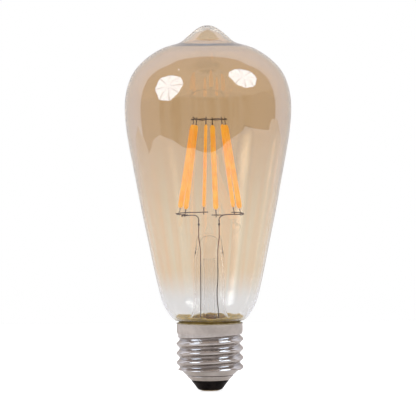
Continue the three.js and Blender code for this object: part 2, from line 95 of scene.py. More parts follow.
def turnOutline(name, points, steps, resolution, cyclic=False, smoothAngle=50):
    # an outline of (radius, height) is turned once round the lamp's axis
    # a third word, "corner", keeps a point sharp
    drawn, spline = drawCurve(name, [(radius, 0, height) for radius, height, *kind in points], resolution)
    for knot, point in zip(spline.bezier_points, points):
        if "corner" in point:
            knot.handle_left_type = knot.handle_right_type = "VECTOR"
    spline.use_cyclic_u = cyclic
    pick(drawn)
    bpy.ops.object.convert(target="MESH")
    piece = bpy.context.object
    for vertex in piece.data.vertices:
        vertex.co.x = max(vertex.co.x, 0)
        vertex.co.y = 0
    useModifier(piece, "SCREW", angle=math.tau, steps=steps, render_steps=steps, use_merge_vertices=True,
                merge_threshold=0.002 * mm, use_smooth_shade=True)
    settle(piece, smoothAngle)
    return piece


def bendWire(name, places, radius, resolution):
    drawn, spline = drawCurve(name, places, resolution)
    drawn.data.bevel_depth = radius * mm
    drawn.data.bevel_resolution = 3
    drawn.data.use_fill_caps = True
    pick(drawn)
    bpy.ops.object.convert(target="MESH")
    piece = bpy.context.object
    settle(piece, 60)
    return piece


def joinPieces(name, parts):
    pick(parts[0])
    for part in parts[1:]:
        part.select_set(True)
    bpy.ops.object.join()
    joined = bpy.context.object
    joined.name = joined.data.name = name
    return joined


def ease(low, high, value):
    share = min(max((value - low) / (high - low), 0), 1)
    return share * share * (3 - 2 * share)


def finishPiece(piece, material, slotName, *replaced):
    piece.data.materials.clear()
    piece.data.materials.append(material)
    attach(piece, "root")
    if replaced:
        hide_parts(*replaced)


# helpers for materials

def link(source, socket):
    socket.id_data.links.new(source, socket)


def feed(socket, value):
    # a number or a colour is set on the socket, and an output is linked to it
    if isinstance(value, (int, float)):
        socket.default_value = value
    elif isinstance(value, tuple):
        socket.default_value = (*value, 1)
    else:
        link(value, socket)


def startGroup(name, inputs, outputs):
    tree = bpy.data.node_groups.new(name, "ShaderNodeTree")
    for label, value in inputs.items():
        socket = tree.interface.new_socket(name=label, in_out="INPUT", socket_type="NodeSocketFloat")
        socket.default_value = value
    for label in outputs:
        tree.interface.new_socket(name=label, in_out="OUTPUT", socket_type="NodeSocketFloat")
    return tree, tree.nodes.new("NodeGroupInput").outputs, tree.nodes.new("NodeGroupOutput").inputs


def addNode(tree, kind, **values):
    node = tree.nodes.new(kind)
    for key, value in values.items():
        if hasattr(node, key):
            setattr(node, key, value)
        else:
            node.inputs[key].default_value = value
    return node


def mathNode(tree, operation, *values):
    node = addNode(tree, "ShaderNodeMath", operation=operation)
    for socket, value in zip(node.inputs, values):
        feed(socket, value)
    return node.outputs[0]


def rangeNode(tree, value, fromMin, fromMax, toMin=0.0, toMax=1.0):
    node = addNode(tree, "ShaderNodeMapRange", interpolation_type="SMOOTHSTEP")
    limits = {"Value": value, "From Min": fromMin, "From Max": fromMax, "To Min": toMin, "To Max": toMax}
    for label, limit in limits.items():
        feed(node.inputs[label], limit)
    return node.outputs["Result"]


def mixColours(tree, share, first, second):
    node = addNode(tree, "ShaderNodeMix", data_type="RGBA")
    for i, value in ((0, share), (6, first), (7, second)):
        feed(node.inputs[i], value)
    return node.outputs[2]


def mixLevels(tree, share, first, second):
    node = tree.nodes.new("ShaderNodeMix")
    for i, value in ((0, share), (2, first), (3, second)):
        feed(node.inputs[i], value)
    return node.outputs[0]


def mixShaders(tree, share, first, second):
    node = tree.nodes.new("ShaderNodeMixShader")
    for i, source in enumerate((share, first.outputs[0], second.outputs[0])):
        link(source, node.inputs[i])
    link(node.outputs[0], tree.nodes["Material Output"].inputs["Surface"])


def surfacePlace(tree, space="Object"):
    # a point's place, whole and as X, Y and Z
    coords = tree.nodes.new("ShaderNodeTexCoord")
    split = tree.nodes.new("ShaderNodeSeparateXYZ")
    link(coords.outputs[space], split.inputs[0])
    return coords.outputs[space], split.outputs


def axisDistance(tree, split):
    squares = [mathNode(tree, "POWER", split[axis], 2) for axis in "XY"]
    return mathNode(tree, "SQRT", mathNode(tree, "ADD", *squares))


def noiseNode(tree, place, scale, detail, roughness=0.5):
    node = addNode(tree, "ShaderNodeTexNoise", Detail=detail, Roughness=roughness)
    feed(node.inputs["Scale"], scale)
    link(place, node.inputs["Vector"])
    return node.outputs[0]


def startMaterial(name, **values):
    material = bpy.data.materials.new(name)
    material.use_nodes = True
    tree = material.node_tree
    shader = tree.nodes["Principled BSDF"]
    for label, value in values.items():
        shader.inputs[label.replace("_", " ")].default_value = value
    return material, tree, shader


def placeGroup(tree, group, **values):
    node = addNode(tree, "ShaderNodeGroup", node_tree=group)
    for label, value in values.items():
        node.inputs[label.replace("_", " ")].default_value = value
    return node.outputs


def addBump(tree, shader, height, strength, depth):
    bump = addNode(tree, "ShaderNodeBump", Strength=strength, Distance=depth * mm)
    link(height, bump.inputs["Height"])
    link(bump.outputs["Normal"], shader.inputs["Normal"])


def dress(tree, shader, colour, marks, roughness, height, strength, depth):
    # the marks carry the roughness from its first value to its second
    # the bump's depth is in millimetres
    link(colour, shader.inputs["Base Color"])
    link(rangeNode(tree, marks, 0.3, 0.7, *roughness), shader.inputs["Roughness"])
    addBump(tree, shader, height, strength, depth)


# shared effects

def buildHeightFade():
    # 0 below Low and 1 above High, in metres up the lamp, with a wandering edge
    inputs = {"Low": 0.03, "High": 0.04, "Wander": 0.001, "Wander Scale": 60.0}
    tree, start, end = startGroup("heightFade", inputs, ["Mask"])
    place, split = surfacePlace(tree)
    centred = mathNode(tree, "SUBTRACT", noiseNode(tree, place, start["Wander Scale"], 2.0), 0.5)
    moved = mathNode(tree, "MULTIPLY_ADD", centred, start["Wander"], split["Z"])
    link(rangeNode(tree, moved, start["Low"], start["High"]), end["Mask"])
    return tree


def buildTurnedLines():
    # fine rings round the lamp's axis, as on drawn and rolled sheet metal
    tree, start, end = startGroup("turnedLines", {"Fineness": 9000.0, "Across": 60.0}, ["Lines", "Cloud"])
    place, split = surfacePlace(tree)
    joined = tree.nodes.new("ShaderNodeCombineXYZ")
    for axis, label in (("X", "Across"), ("Y", "Across"), ("Z", "Fineness")):
        link(mathNode(tree, "MULTIPLY", split[axis], start[label]), joined.inputs[axis])
    link(noiseNode(tree, joined.outputs[0], 1.0, 3.0, 0.6), end["Lines"])
    link(noiseNode(tree, place, 220.0, 4.0, 0.6), end["Cloud"])
    return tree


def buildGrain():
    # small lumps and specks, as in cement, silicone or a moulded body
    inputs = {"Scale": 4000.0, "Speck Scale": 1500.0, "Speck Amount": 0.3}
    tree, start, end = startGroup("grain", inputs, ["Height", "Specks"])
    place = surfacePlace(tree)[0]
    specks = tree.nodes.new("ShaderNodeTexVoronoi")
    link(place, specks.inputs["Vector"])
    link(start["Speck Scale"], specks.inputs["Scale"])
    dots = rangeNode(tree, specks.outputs["Distance"], 0.05, 0.35, 1.0, 0.0)
    link(noiseNode(tree, place, start["Scale"], 4.0, 0.65), end["Height"])
    link(mathNode(tree, "MULTIPLY", dots, start["Speck Amount"]), end["Specks"])
    return tree


def buildMottle():
    # cloudy variation at two sizes, as in tarnish, film and uneven dip coats
    tree, start, end = startGroup("mottle", {"Scale": 300.0, "Fine Scale": 2500.0}, ["Cloud", "Fine"])
    place = surfacePlace(tree)[0]
    for label, scaleName in (("Cloud", "Scale"), ("Fine", "Fine Scale")):
        link(noiseNode(tree, place, start[scaleName], 4.0, 0.6), end[label])
    return tree


def buildRunStreaks():
    # soft streaks down the lamp, where a dipped coat ran before it dried
    tree, start, end = startGroup("runStreaks", {"Count": 5.0, "Length": 12.0}, ["Streaks"])
    split = surfacePlace(tree)[1]
    radius = mathNode(tree, "MAXIMUM", axisDistance(tree, split), 0.001)
    joined = tree.nodes.new("ShaderNodeCombineXYZ")
    for axis in "XY":
        around = mathNode(tree, "DIVIDE", split[axis], radius)
        link(mathNode(tree, "MULTIPLY", around, start["Count"]), joined.inputs[axis])
    link(mathNode(tree, "MULTIPLY", split["Z"], start["Length"]), joined.inputs["Z"])
    link(noiseNode(tree, joined.outputs[0], 1.0, 3.0, 0.55), end["Streaks"])
    return tree


heightFade = buildHeightFade()
turnedLines = buildTurnedLines()
grain = buildGrain()
mottle = buildMottle()
runStreaks = buildRunStreaks()
print("shared effects made")


def heightMask(tree, low, high, wander=1.0, wanderScale=60):
    # heights and the wander of the edge in millimetres
    fade = placeGroup(tree, heightFade, Low=low * mm, High=high * mm, Wander=wander * mm,
                      Wander_Scale=wanderScale)
    return fade["Mask"]


# glass

def letLampsThrough(tree, shader, tint):
    # shadow rays pass straight through the thin wall, so lamps light what is inside
    path = tree.nodes.new("ShaderNodeLightPath")
    clear = addNode(tree, "ShaderNodeBsdfTransparent", Color=(*tint, 1))
    mixShaders(tree, path.outputs["Is Shadow Ray"], shader, clear)


amber = {
    # tints of one wall, from the tip down to where the neck turns in over the cap; the last dark band there
    # is painted shade, not a tint of the glass
    "tip": (0.93, 0.80, 0.63),
    "deep": (0.87, 0.70, 0.50),
    "warm": (0.985, 0.835, 0.675),
    "warmThin": (0.965, 0.875, 0.74),
    "clear": (0.985, 0.975, 0.97),
    "resin": (0.92, 0.88, 0.76),
    "resinDark": (0.82, 0.76, 0.60),
    "creaseShade": (0.45, 0.36, 0.24),
    "lampTint": (0.99, 0.97, 0.93),
    # heights in millimetres between which one tint turns into the next
    "tipSpan": (134.6, 136.4),
    "deepSpan": (55, 108),
    "fadeSpan": (34, 48),
    "resinSpan": (28.2, 29.0),
    "creaseShadeTop": (27.55, 27.9),
    "creaseShadeFoot": (27.05, 27.25),
    "mirrorSpan": (58, 92),
}


def makeAmberGlass():
    material, tree, shader = startMaterial("amberGlass", Roughness=0.0, IOR=1.55, Transmission_Weight=1.0,
                                           Coat_IOR=1.75, Coat_Roughness=0.0)
    link(heightMask(tree, *amber["mirrorSpan"], 3), shader.inputs["Coat Weight"])
    streaks = placeGroup(tree, runStreaks, Count=9, Length=10)["Streaks"]
    stains = placeGroup(tree, mottle, Scale=420, Fine_Scale=1500)["Cloud"]
    thin = mixColours(tree, rangeNode(tree, streaks, 0.42, 0.58), amber["warm"], amber["warmThin"])
    crown = mixColours(tree, heightMask(tree, *amber["tipSpan"], 0.5), amber["deep"], amber["tip"])
    coated = mixColours(tree, heightMask(tree, *amber["deepSpan"], 3, 25), thin, crown)
    faded = mixColours(tree, heightMask(tree, *amber["fadeSpan"], 2.5), amber["clear"], coated)
    resin = mixColours(tree, rangeNode(tree, stains, 0.38, 0.62), amber["resin"], amber["resinDark"])
    sealed = mixColours(tree, heightMask(tree, *amber["resinSpan"], 1.6, 260), resin, faded)
    # painted shade: a dark band where the neck turns in over the cap, with the resin tint again below it
    creaseShaded = mixColours(tree, heightMask(tree, *amber["creaseShadeTop"], 0.3, 700), amber["creaseShade"], sealed)
    finished = mixColours(tree, heightMask(tree, *amber["creaseShadeFoot"], 0.3, 700), resin, creaseShaded)
    link(finished, shader.inputs["Base Color"])
    waves = placeGroup(tree, mottle, Scale=40, Fine_Scale=160)["Cloud"]
    addBump(tree, shader, waves, 0.03, 0.3)
    letLampsThrough(tree, shader, amber["lampTint"])
    return material


stemGlass = {
    "clear": (0.975, 0.975, 0.975),
    "resin": (0.66, 0.58, 0.36),
    "resinPale": (0.86, 0.74, 0.50),
    "resinSpan": (29.0, 29.8),
    "lampTint": (0.98, 0.98, 0.98),
}


def makeClearGlass():
    material, tree, shader = startMaterial("clearGlass", Roughness=0.0, IOR=1.15, Transmission_Weight=1.0,
                                           Specular_Tint=(3, 3, 3, 1))
    stains = placeGroup(tree, mottle, Scale=500, Fine_Scale=1600)["Cloud"]
    resin = mixColours(tree, rangeNode(tree, stains, 0.35, 0.65), stemGlass["resin"],
                       stemGlass["resinPale"])
    finished = mixColours(tree, heightMask(tree, *stemGlass["resinSpan"], 1.2, 420), resin,
                          stemGlass["clear"])
    link(finished, shader.inputs["Base Color"])
    addBump(tree, shader, stains, 0.04, 0.1)
    letLampsThrough(tree, shader, stemGlass["lampTint"])
    return material


amberGlass = makeAmberGlass()
clearGlass = makeClearGlass()

envelope = {
    # radius and height of the outside, from the neck in the cap to the tip
    "outside": [
        (11.6, 24.6, "corner"), (11.6, 26.2), (11.95, 26.85), (12.8, 27.3), (13.5, 27.5, "corner"),
        (14.4, 28.2), (15.5, 29.6), (17.25, 32.3), (18.5, 35.2), (19.75, 40.0), (21.1, 46.0), (23.65, 58.5),
        (26.2, 70.9), (28.5, 83.3), (30.8, 95.7), (31.75, 102.0), (32.25, 109.7), (31.9, 114.6), (30.6,
                                                                                                  119.8),
        (28.6, 123.9), (25.6, 127.4), (21.6, 130.6), (17.3, 133.0), (13.6, 134.2), (11.4, 134.8), (9.6,
                                                                                                   135.75),
        (8.25, 136.95), (6.9, 138.15), (5.4, 139.4), (3.6, 140.65), (1.8, 141.45), (0, 141.7),
    ],
    "wall": 0.8,
    # the inside under the tip, where the wall is thicker
    "ceiling": [(10.9, 133.8), (8.8, 134.9), (7.3, 136.2), (6.0, 137.35), (4.6, 138.5), (3.0, 139.45),
                (1.5, 140.1), (0, 140.3)],
    "ceilingRadius": 12.5,
    "shoulderHeight": 132,
    "steps": 128,
}


def offsetInwards(points, wall):
    # the same outline a wall's thickness further in
    moved = []
    for before, point, after in zip(points, points[1:], points[2:]):
        along = Vector((after[0] - before[0], after[1] - before[1])).normalized()
        moved.append((point[0] - along.y * wall, point[1] + along.x * wall, *point[2:]))
    return moved


def makeEnvelope():
    outside, wall = envelope["outside"], envelope["wall"]
    inside = [point for point in offsetInwards(outside, wall)
              if point[1] < envelope["shoulderHeight"] or point[0] > envelope["ceilingRadius"]]
    radius, height = outside[0][:2]
    neck = [(radius - wall, height, "corner"), (radius, height, "corner")]
    outline = envelope["ceiling"][::-1] + inside[::-1] + neck + outside[1:]
    piece = turnOutline("envelopeGlass", outline, envelope["steps"], 5, smoothAngle=None)
    finishPiece(piece, amberGlass, "amber_glass", "glass_envelope")


stem = {
    # from the inside of the tube, down to the flare's mouth and up the outside to the pulled tip
    "outline": [
        (0, 60.3), (1.4, 60.1), (2.7, 59.3), (3.6, 57.6), (4.3, 54.0), (4.9, 49.5), (5.15, 40), (5.25,
                                                                                                 33.5),
        (5.6, 31.2), (6.9, 28.6), (8.6, 27.3), (9.5, 26.5), (9.9, 25.9), (10.35, 25.95), (10.25, 26.7),
        (9.2, 27.7), (7.6, 28.9), (6.5, 30.8), (6.15, 34.0), (5.95, 42), (5.75, 52.2), (5.1, 56.4), (4.75,
                                                                                                     59),
        (4.2, 60.4), (3.0, 60.9), (2.1, 61.05), (1.62, 61.6), (1.2, 62.7), (0.75, 64.0), (0.35,
                                                                                          64.95), (0, 65.1),
    ],
    "pinchLow": 51.5,
    "pinchHigh": 57.5,
    "flatness": 0.42,
    "tipLow": 60.3,
    "tipHigh": 61.8,
}


def makeStem():
    piece = turnOutline("stemGlass", stem["outline"], 72, 5, smoothAngle=None)
    for vertex in piece.data.vertices:  # the press squeezes the hot tube from front and back, below the tip
        height = vertex.co.z / mm
        pressed = ease(stem["pinchLow"], stem["pinchHigh"], height)
        pressed *= 1 - ease(stem["tipLow"], stem["tipHigh"], height)
        vertex.co.y *= 1 - (1 - stem["flatness"]) * pressed
    finishPiece(piece, clearGlass, "clear_glass", "stem_glass")


exhaust = {
    "outline": [(0, 20.4), (1.4, 20.9), (2.3, 22.3), (2.6, 24.6), (2.6, 46.0), (2.35, 50.2), (2.2, 51.2),
                (2.05, 50.2), (1.8, 46.0), (1.8, 24.6), (1.2, 23.0), (0, 22.4)],
}


def makeExhaust():
    piece = turnOutline("exhaustGlass", exhaust["outline"], 48, 4, smoothAngle=None)
    finishPiece(piece, clearGlass, "clear_glass", "exhaust_tube")


sealRing = {
    "outline": [(10.55, 25.6), (10.66, 26.6), (11.1, 27.3), (12.0, 27.75), (12.7, 28.2), (13.15, 28.85),
                (12.7, 29.0), (11.8, 28.75), (11.0, 28.1), (10.5, 27.3), (10.45, 26.4)],
    "lump": 0.55,
    "lumpsFrom": 27.9,
    "lumpsFull": 28.6,
    "gold": (0.78, 0.54, 0.14),
    "olive": (0.50, 0.36, 0.11),
    "creaseShade": (0.24, 0.14, 0.07),
    "paintedGlint": (0.85, 0.72, 0.55),
    "creaseShadeFoot": (27.0, 27.25),
    "creaseShadeTop": (27.55, 27.8),
}


def makeSealRing():
    # the ring of resin-brown glass where the stem's flare is fused into the bulb's neck, with painted
    # glints, a band of painted shade where the neck turns in, and a faint glow that is painted light
    material, tree, shader = startMaterial("sealResin", Emission_Strength=0.25)
    clouds = placeGroup(tree, mottle, Scale=420, Fine_Scale=2400)
    foot = heightMask(tree, *sealRing["creaseShadeFoot"], 0.5, 300)
    top = heightMask(tree, *sealRing["creaseShadeTop"], 0.5, 300)
    tone = mixColours(tree, rangeNode(tree, clouds["Cloud"], 0.38, 0.62), sealRing["gold"],
                      sealRing["olive"])
    # painted highlights: small pale glints scattered over the ring
    spotted = mixColours(tree, rangeNode(tree, clouds["Fine"], 0.6, 0.72), tone, sealRing["paintedGlint"])
    # painted shade: a dark band between the two heights
    inCreaseShade = mathNode(tree, "MULTIPLY", foot, mathNode(tree, "SUBTRACT", 1, top))
    finished = mixColours(tree, inCreaseShade, spotted, sealRing["creaseShade"])
    # the ring glows faintly in its own colours: painted light
    link(finished, shader.inputs["Emission Color"])
    dress(tree, shader, finished, clouds["Fine"], (0.25, 0.6), clouds["Fine"], 0.5, 0.1)
    piece = turnOutline("sealRing", sealRing["outline"], 160, 4, cyclic=True, smoothAngle=60)
    for vertex in piece.data.vertices:
        height = vertex.co.z / mm
        if height > sealRing["lumpsFrom"]:
            lump = noise.noise(vertex.co * 260) + 0.5 * noise.noise(vertex.co * 800)
            vertex.co.z += sealRing["lump"] * mm * lump * ease(sealRing["lumpsFrom"],
                                                               sealRing["lumpsFull"], height)
    finishPiece(piece, material, "cement")


makeEnvelope()
makeStem()
makeExhaust()
makeSealRing()
print("glass made")


# screw cap

nickel = {
    "dull": (0.525, 0.475, 0.435),
    "bright": (0.665, 0.605, 0.555),
    "rootDark": (0.30, 0.27, 0.255),
    "grooveShade": (0.03, 0.025, 0.025),
    "polished": 0.06,
    "rubbed": 0.12,
    "collarRoughness": (0.45, 0.5),
    "threadMetal": 0.88,
    "collarMetal": 0.5,
    "groove": 6.05 * mm,
    "rootRadius": 11.9 * mm,
    "flankRadius": 12.4 * mm,
    "coneTop": (8.6, 9.4),
    "collarFoot": (22.2, 22.7),
}


def makeNickel():
    material, tree, shader = startMaterial("nickelPlate", Metallic=1.0)
    marks = placeGroup(tree, turnedLines, Fineness=6000, Across=90)
    film = placeGroup(tree, mottle, Scale=160, Fine_Scale=900)
    split = surfacePlace(tree)[1]
    inRoot = rangeNode(tree, axisDistance(tree, split), nickel["rootRadius"], nickel["flankRadius"], 0.8,
                       0.0)
    aboveCone = heightMask(tree, *nickel["coneTop"])
    onCollar = heightMask(tree, *nickel["collarFoot"], 0.1)
    tone = mixColours(tree, rangeNode(tree, marks["Cloud"], 0.3, 0.7), nickel["dull"], nickel["bright"])
    # darker in the roots of the thread above the cone, in clouds
    rootDarkening = mathNode(tree, "MULTIPLY", mathNode(tree, "MULTIPLY", inRoot, aboveCone),
                    rangeNode(tree, film["Cloud"], 0.25, 0.6, 0.35, 1.0))
    rootDarkened = mixColours(tree, rootDarkening, tone, nickel["rootDark"])
    # painted shade: a near-black line along the rolled groove
    fromGroove = mathNode(tree, "ABSOLUTE", mathNode(tree, "SUBTRACT", split["Z"], nickel["groove"]))
    inGrooveShade = rangeNode(tree, fromGroove, 0.08 * mm, 0.17 * mm, 0.85, 0.0)
    link(mixColours(tree, inGrooveShade, rootDarkened, nickel["grooveShade"]), shader.inputs["Base Color"])
    sheen = rangeNode(tree, film["Cloud"], 0.35, 0.65, nickel["polished"], nickel["rubbed"])
    satin = rangeNode(tree, film["Fine"], 0.3, 0.7, *nickel["collarRoughness"])
    link(rangeNode(tree, onCollar, 0, 1, sheen, satin), shader.inputs["Roughness"])
    metal = rangeNode(tree, onCollar, 0, 1, nickel["threadMetal"], nickel["collarMetal"])
    link(metal, shader.inputs["Metallic"])
    addBump(tree, shader, marks["Lines"], 0.22, 0.02)
    return material


nickelPlate = makeNickel()

shell = {
    "crest": 13.05,
    "root": 11.8,
    "wall": 0.35,
    "pitch": 3.629,
    "crestAtRight": 16.35,
    "threadTop": 21.8,
    "threadEnd": 8.2,
    "rows": 170,
    "ripple": 0.011,  # left by the rolling
    "ripplePitch": 0.62,
    # the lip that holds the insulator, a rolled groove and the cone; then the collar above the thread
    "lip": [(7.2, 4.1, "corner"), (7.4, 4.12), (8.3, 4.98), (8.85, 5.5), (9.02, 5.8), (8.95, 6.03),
            (9.2, 6.15),
            (9.6, 6.42), (10.4, 7.2), (11.35, 8.02)],
    "collar": [(12.62, 22.3), (12.8, 22.9), (12.8, 25.9), (12.86, 26.2), (12.72, 26.32)],
}


def threadRise(angle, height):
    # the rolled thread, which runs out under the collar and over the cone
    slant = 0.6 * math.cos(angle)
    top = 1 - ease(shell["threadTop"] + slant - 0.9, shell["threadTop"] + slant, height)
    bottom = ease(shell["threadEnd"] - 1.2 - slant, shell["threadEnd"] - slant, height)
    wave = math.cos(math.tau * (height - shell["crestAtRight"]) / shell["pitch"] - angle)
    patch = noise.noise(Vector((math.cos(angle), math.sin(angle), height * 0.4)))
    uneven = 0.5 + 0.5 * math.cos(angle + 0.5) + patch
    ripple = shell["ripple"] * uneven * math.cos(math.tau * height / shell["ripplePitch"] - angle)
    return top * bottom * (wave * (shell["crest"] - shell["root"]) / 2 + ripple)


def makeShell():
    middle = (shell["crest"] + shell["root"]) / 2
    outline = list(shell["lip"])
    low, high, rows = shell["threadEnd"], shell["threadTop"], shell["rows"]
    outline += [(middle, low + (high - low) * i / rows, "corner") for i in range(rows + 1)]
    outline += shell["collar"]
    piece = turnOutline("screwShell", outline, 160, 3, smoothAngle=None)
    for vertex in piece.data.vertices:
        radius = math.hypot(vertex.co.x, vertex.co.y)
        height = vertex.co.z / mm
        if low - 0.01 < height < high + 0.01:
            angle = math.atan2(vertex.co.y, vertex.co.x)
            grown = 1 + threadRise(angle, height) * mm / radius
            vertex.co.x *= grown
            vertex.co.y *= grown
    useModifier(piece, "SOLIDIFY", thickness=shell["wall"] * mm, offset=-1)
    pick(piece)
    bpy.ops.object.shade_smooth()
    finishPiece(piece, nickelPlate, "nickel_plate", "screw_shell")


insulator = {
    "outline": [(4.15, 0.5), (4.45, 0.38), (4.75, 0.6), (5.9, 2.1), (7.2, 3.8), (7.25, 3.95, "corner"),
                (7.02, 3.95, "corner"), (7.02, 4.8, "corner"), (8.2, 5.95), (9.6, 7.3), (9.1, 7.5), (6.6,
                                                                                                     6.5),
                (3.9, 5.65), (3.5, 6.4), (3.2, 7.5), (2.2, 7.6), (2.1, 7.3), (2.1, 1.35, "corner"),
                (4.15, 1.35, "corner")],
    "colour": (0.006, 0.0045, 0.0045),
    "worn": (0.02, 0.015, 0.014),
}


def makeInsulator():
    material, tree, shader = startMaterial("blackGlass", Specular_IOR_Level=0.06)
    marks = placeGroup(tree, mottle, Scale=450, Fine_Scale=2200)
    tone = mixColours(tree, rangeNode(tree, marks["Cloud"], 0.4, 0.7), insulator["colour"],
                      insulator["worn"])
    dress(tree, shader, tone, marks["Cloud"], (0.22, 0.42), marks["Fine"], 0.25, 0.05)
    piece = turnOutline("insulatorGlass", insulator["outline"], 96, 4, cyclic=True, smoothAngle=40)
    finishPiece(piece, material, "black_insulator", "cap_insulator")


contact = {
    "outline": [(0, 0), (1.3, 0), (1.45, 0.06), (1.6, 0), (3.3, 0), (3.75, 0.12), (3.98, 0.45),
                (3.98, 0.95),
                (3.85, 1.14), (1.45, 1.14), (1.3, 1.3), (1.3, 6.1), (1.15, 6.5), (0.5, 6.79), (0, 6.8)],
    "bright": (0.74, 0.56, 0.28),
    "tarnished": (0.42, 0.28, 0.12),
}


def makeContact():
    material, tree, shader = startMaterial("brass", Metallic=1.0)
    marks = placeGroup(tree, mottle, Scale=500, Fine_Scale=3000)
    lines = placeGroup(tree, turnedLines, Fineness=4000, Across=4000)
    tone = mixColours(tree, rangeNode(tree, marks["Cloud"], 0.35, 0.7), contact["bright"],
                      contact["tarnished"])
    dress(tree, shader, tone, marks["Cloud"], (0.22, 0.42), lines["Lines"], 0.2, 0.02)
    piece = turnOutline("contactPin", contact["outline"], 64, 3, smoothAngle=35)
    finishPiece(piece, material, "brass", "contact_pin")


cement = {
    "outline": [(9.0, 21.4), (11.0, 20.95), (11.9, 22.2), (12.3, 22.9), (12.3, 26.3), (12.05, 26.62),
                (11.8, 26.35), (11.75, 25.7), (11.75, 24.5, "corner"), (10.5, 24.5, "corner"), (10.45,
                                                                                                25.5),
                (9.6, 25.6), (8.6, 25.0)],
    "lump": 0.14,
    "pale": (0.54, 0.46, 0.27),
    "brown": (0.28, 0.21, 0.12),
}


def makeCement():
    # the cement glows faintly in its own colours: painted light that lifts it out of the shade it sits in
    material, tree, shader = startMaterial("cappingCement", Emission_Strength=0.25)
    lumps = placeGroup(tree, grain, Scale=1400, Speck_Scale=900, Speck_Amount=0.5)
    clouds = placeGroup(tree, mottle, Scale=420, Fine_Scale=2600)
    tone = mixColours(tree, rangeNode(tree, clouds["Cloud"], 0.35, 0.65), cement["pale"], cement["brown"])
    spotted = mixColours(tree, lumps["Specks"], tone, cement["brown"])
    link(spotted, shader.inputs["Emission Color"])
    dress(tree, shader, spotted, clouds["Fine"], (0.45, 0.8), lumps["Height"], 0.6, 0.12)
    piece = turnOutline("cappingCement", cement["outline"], 120, 5, cyclic=True, smoothAngle=60)
    for vertex in piece.data.vertices:  # baked paste never sets level
        if vertex.co.z > 25.9 * mm or vertex.co.z < 22 * mm:
            vertex.co.z += (noise.noise(vertex.co * 700) - 0.3) * cement["lump"] * mm
    finishPiece(piece, material, "cement", "capping_cement")


makeShell()
makeInsulator()
makeContact()
makeCement()
print("cap made")


# wires

def makeMetal(name, bright, dull, roughness, scale=700):
    material, tree, shader = startMaterial(name, Metallic=1.0)
    marks = placeGroup(tree, mottle, Scale=scale, Fine_Scale=scale * 6)
    tone = mixColours(tree, rangeNode(tree, marks["Cloud"], 0.35, 0.65), bright, dull)
    dress(tree, shader, tone, marks["Cloud"], roughness, marks["Fine"], 0.2, 0.02)
    return material


nickelWire = makeMetal("nickelWire", (0.19, 0.125, 0.10), (0.08, 0.05, 0.04), (0.4, 0.6))
copperSeal = makeMetal("copperSeal", (0.40, 0.20, 0.13), (0.20, 0.09, 0.07), (0.3, 0.5))
tabSteel = makeMetal("tabSteel", (0.16, 0.12, 0.10), (0.07, 0.05, 0.04), (0.3, 0.5), 1400)
solderTin = makeMetal("solderTin", (0.55, 0.55, 0.57), (0.36, 0.36, 0.38), (0.25, 0.5), 500)

cage = {
    "count": 6,
    "firstAngle": 10.9,
    "shiftX": 0.4,
    "topRadius": 6.7,
    "topZ": 103.2,
    "footRadius": 12.2,
    "footZ": 70.9,
    "ringZ": 105.3,
    "arcZ": 68.8,
    "ringWire": 0.2,
    "ringOffset": 0.5,
}
cage["slope"] = (cage["footRadius"] - cage["topRadius"]) / (cage["topZ"] - cage["footZ"])
cage["lean"] = math.atan(cage["slope"])
cage["length"] = math.hypot(cage["topZ"] - cage["footZ"], cage["footRadius"] - cage["topRadius"])
cage["ringRadius"] = cage["topRadius"] - (cage["ringZ"] - cage["topZ"]) * cage["slope"] + cage["ringOffset"]
cage["arcRadius"] = cage["footRadius"] + (cage["footZ"] - cage["arcZ"]) * cage["slope"] + cage["ringOffset"]


def onCircle(radius, height, degrees):
    # a place round the cage, at an angle from the front turning to the right
    turn = math.radians(degrees)
    return (cage["shiftX"] + radius * math.sin(turn), -radius * math.cos(turn), height)


def makeBead(place, size, stretch=1.0):
    # a blob of melted wire at a weld
    clearSelection()
    bpy.ops.mesh.primitive_uv_sphere_add(segments=16, ring_count=10, radius=size * mm,
                                         location=Vector(place) * mm)
    bead = bpy.context.object
    bead.scale.z = stretch
    for vertex in bead.data.vertices:
        vertex.co *= 1 + 0.12 * noise.noise(vertex.co * 4000 + Vector(place))
    settle(bead)
    return bead


def filamentAngle(i):
    return cage["firstAngle"] + i * 360 / cage["count"]


def makeRing(name, replaced, radius, height, turns, knots, beads, wave, lift=0):
    # a hand-bent wire: its height and radius wander a little, and its first end stands up
    start, end = turns
    places = []
    for i in range(knots + 1):
        sway = wave * math.sin(2.7 * i + start)
        places.append(onCircle(radius + 0.5 * sway, height + sway, start + (end - start) * i / knots))
    if lift:
        x, y, z = places[0]
        places[0] = (x * 1.02, y, z + lift)
    parts = [bendWire(name, places, cage["ringWire"], 6)]
    for i in beads:
        parts.append(makeBead(onCircle(radius - 0.18, height, filamentAngle(i)), 0.36, 0.8))
    finishPiece(joinPieces(name, parts), nickelWire, "nickel_wire", replaced)


lead = {
    "lowX": 3.35,
    "highX": 3.95,
    "boardX": 3.6,
    "weldZ": 64.6,
    "bendZ": 67.1,
    "innerWire": 0.2,
    "sealWire": 0.19,
    "outerWire": 0.2,
    "sealFootZ": 50,
    "boardZ": 16.9,
    "rightKink": 0.35,
    "endAngles": {"left": 305, "right": 100.9},
}
lead["endZ"] = cage["arcZ"] - cage["ringWire"] - lead["innerWire"] - 0.1


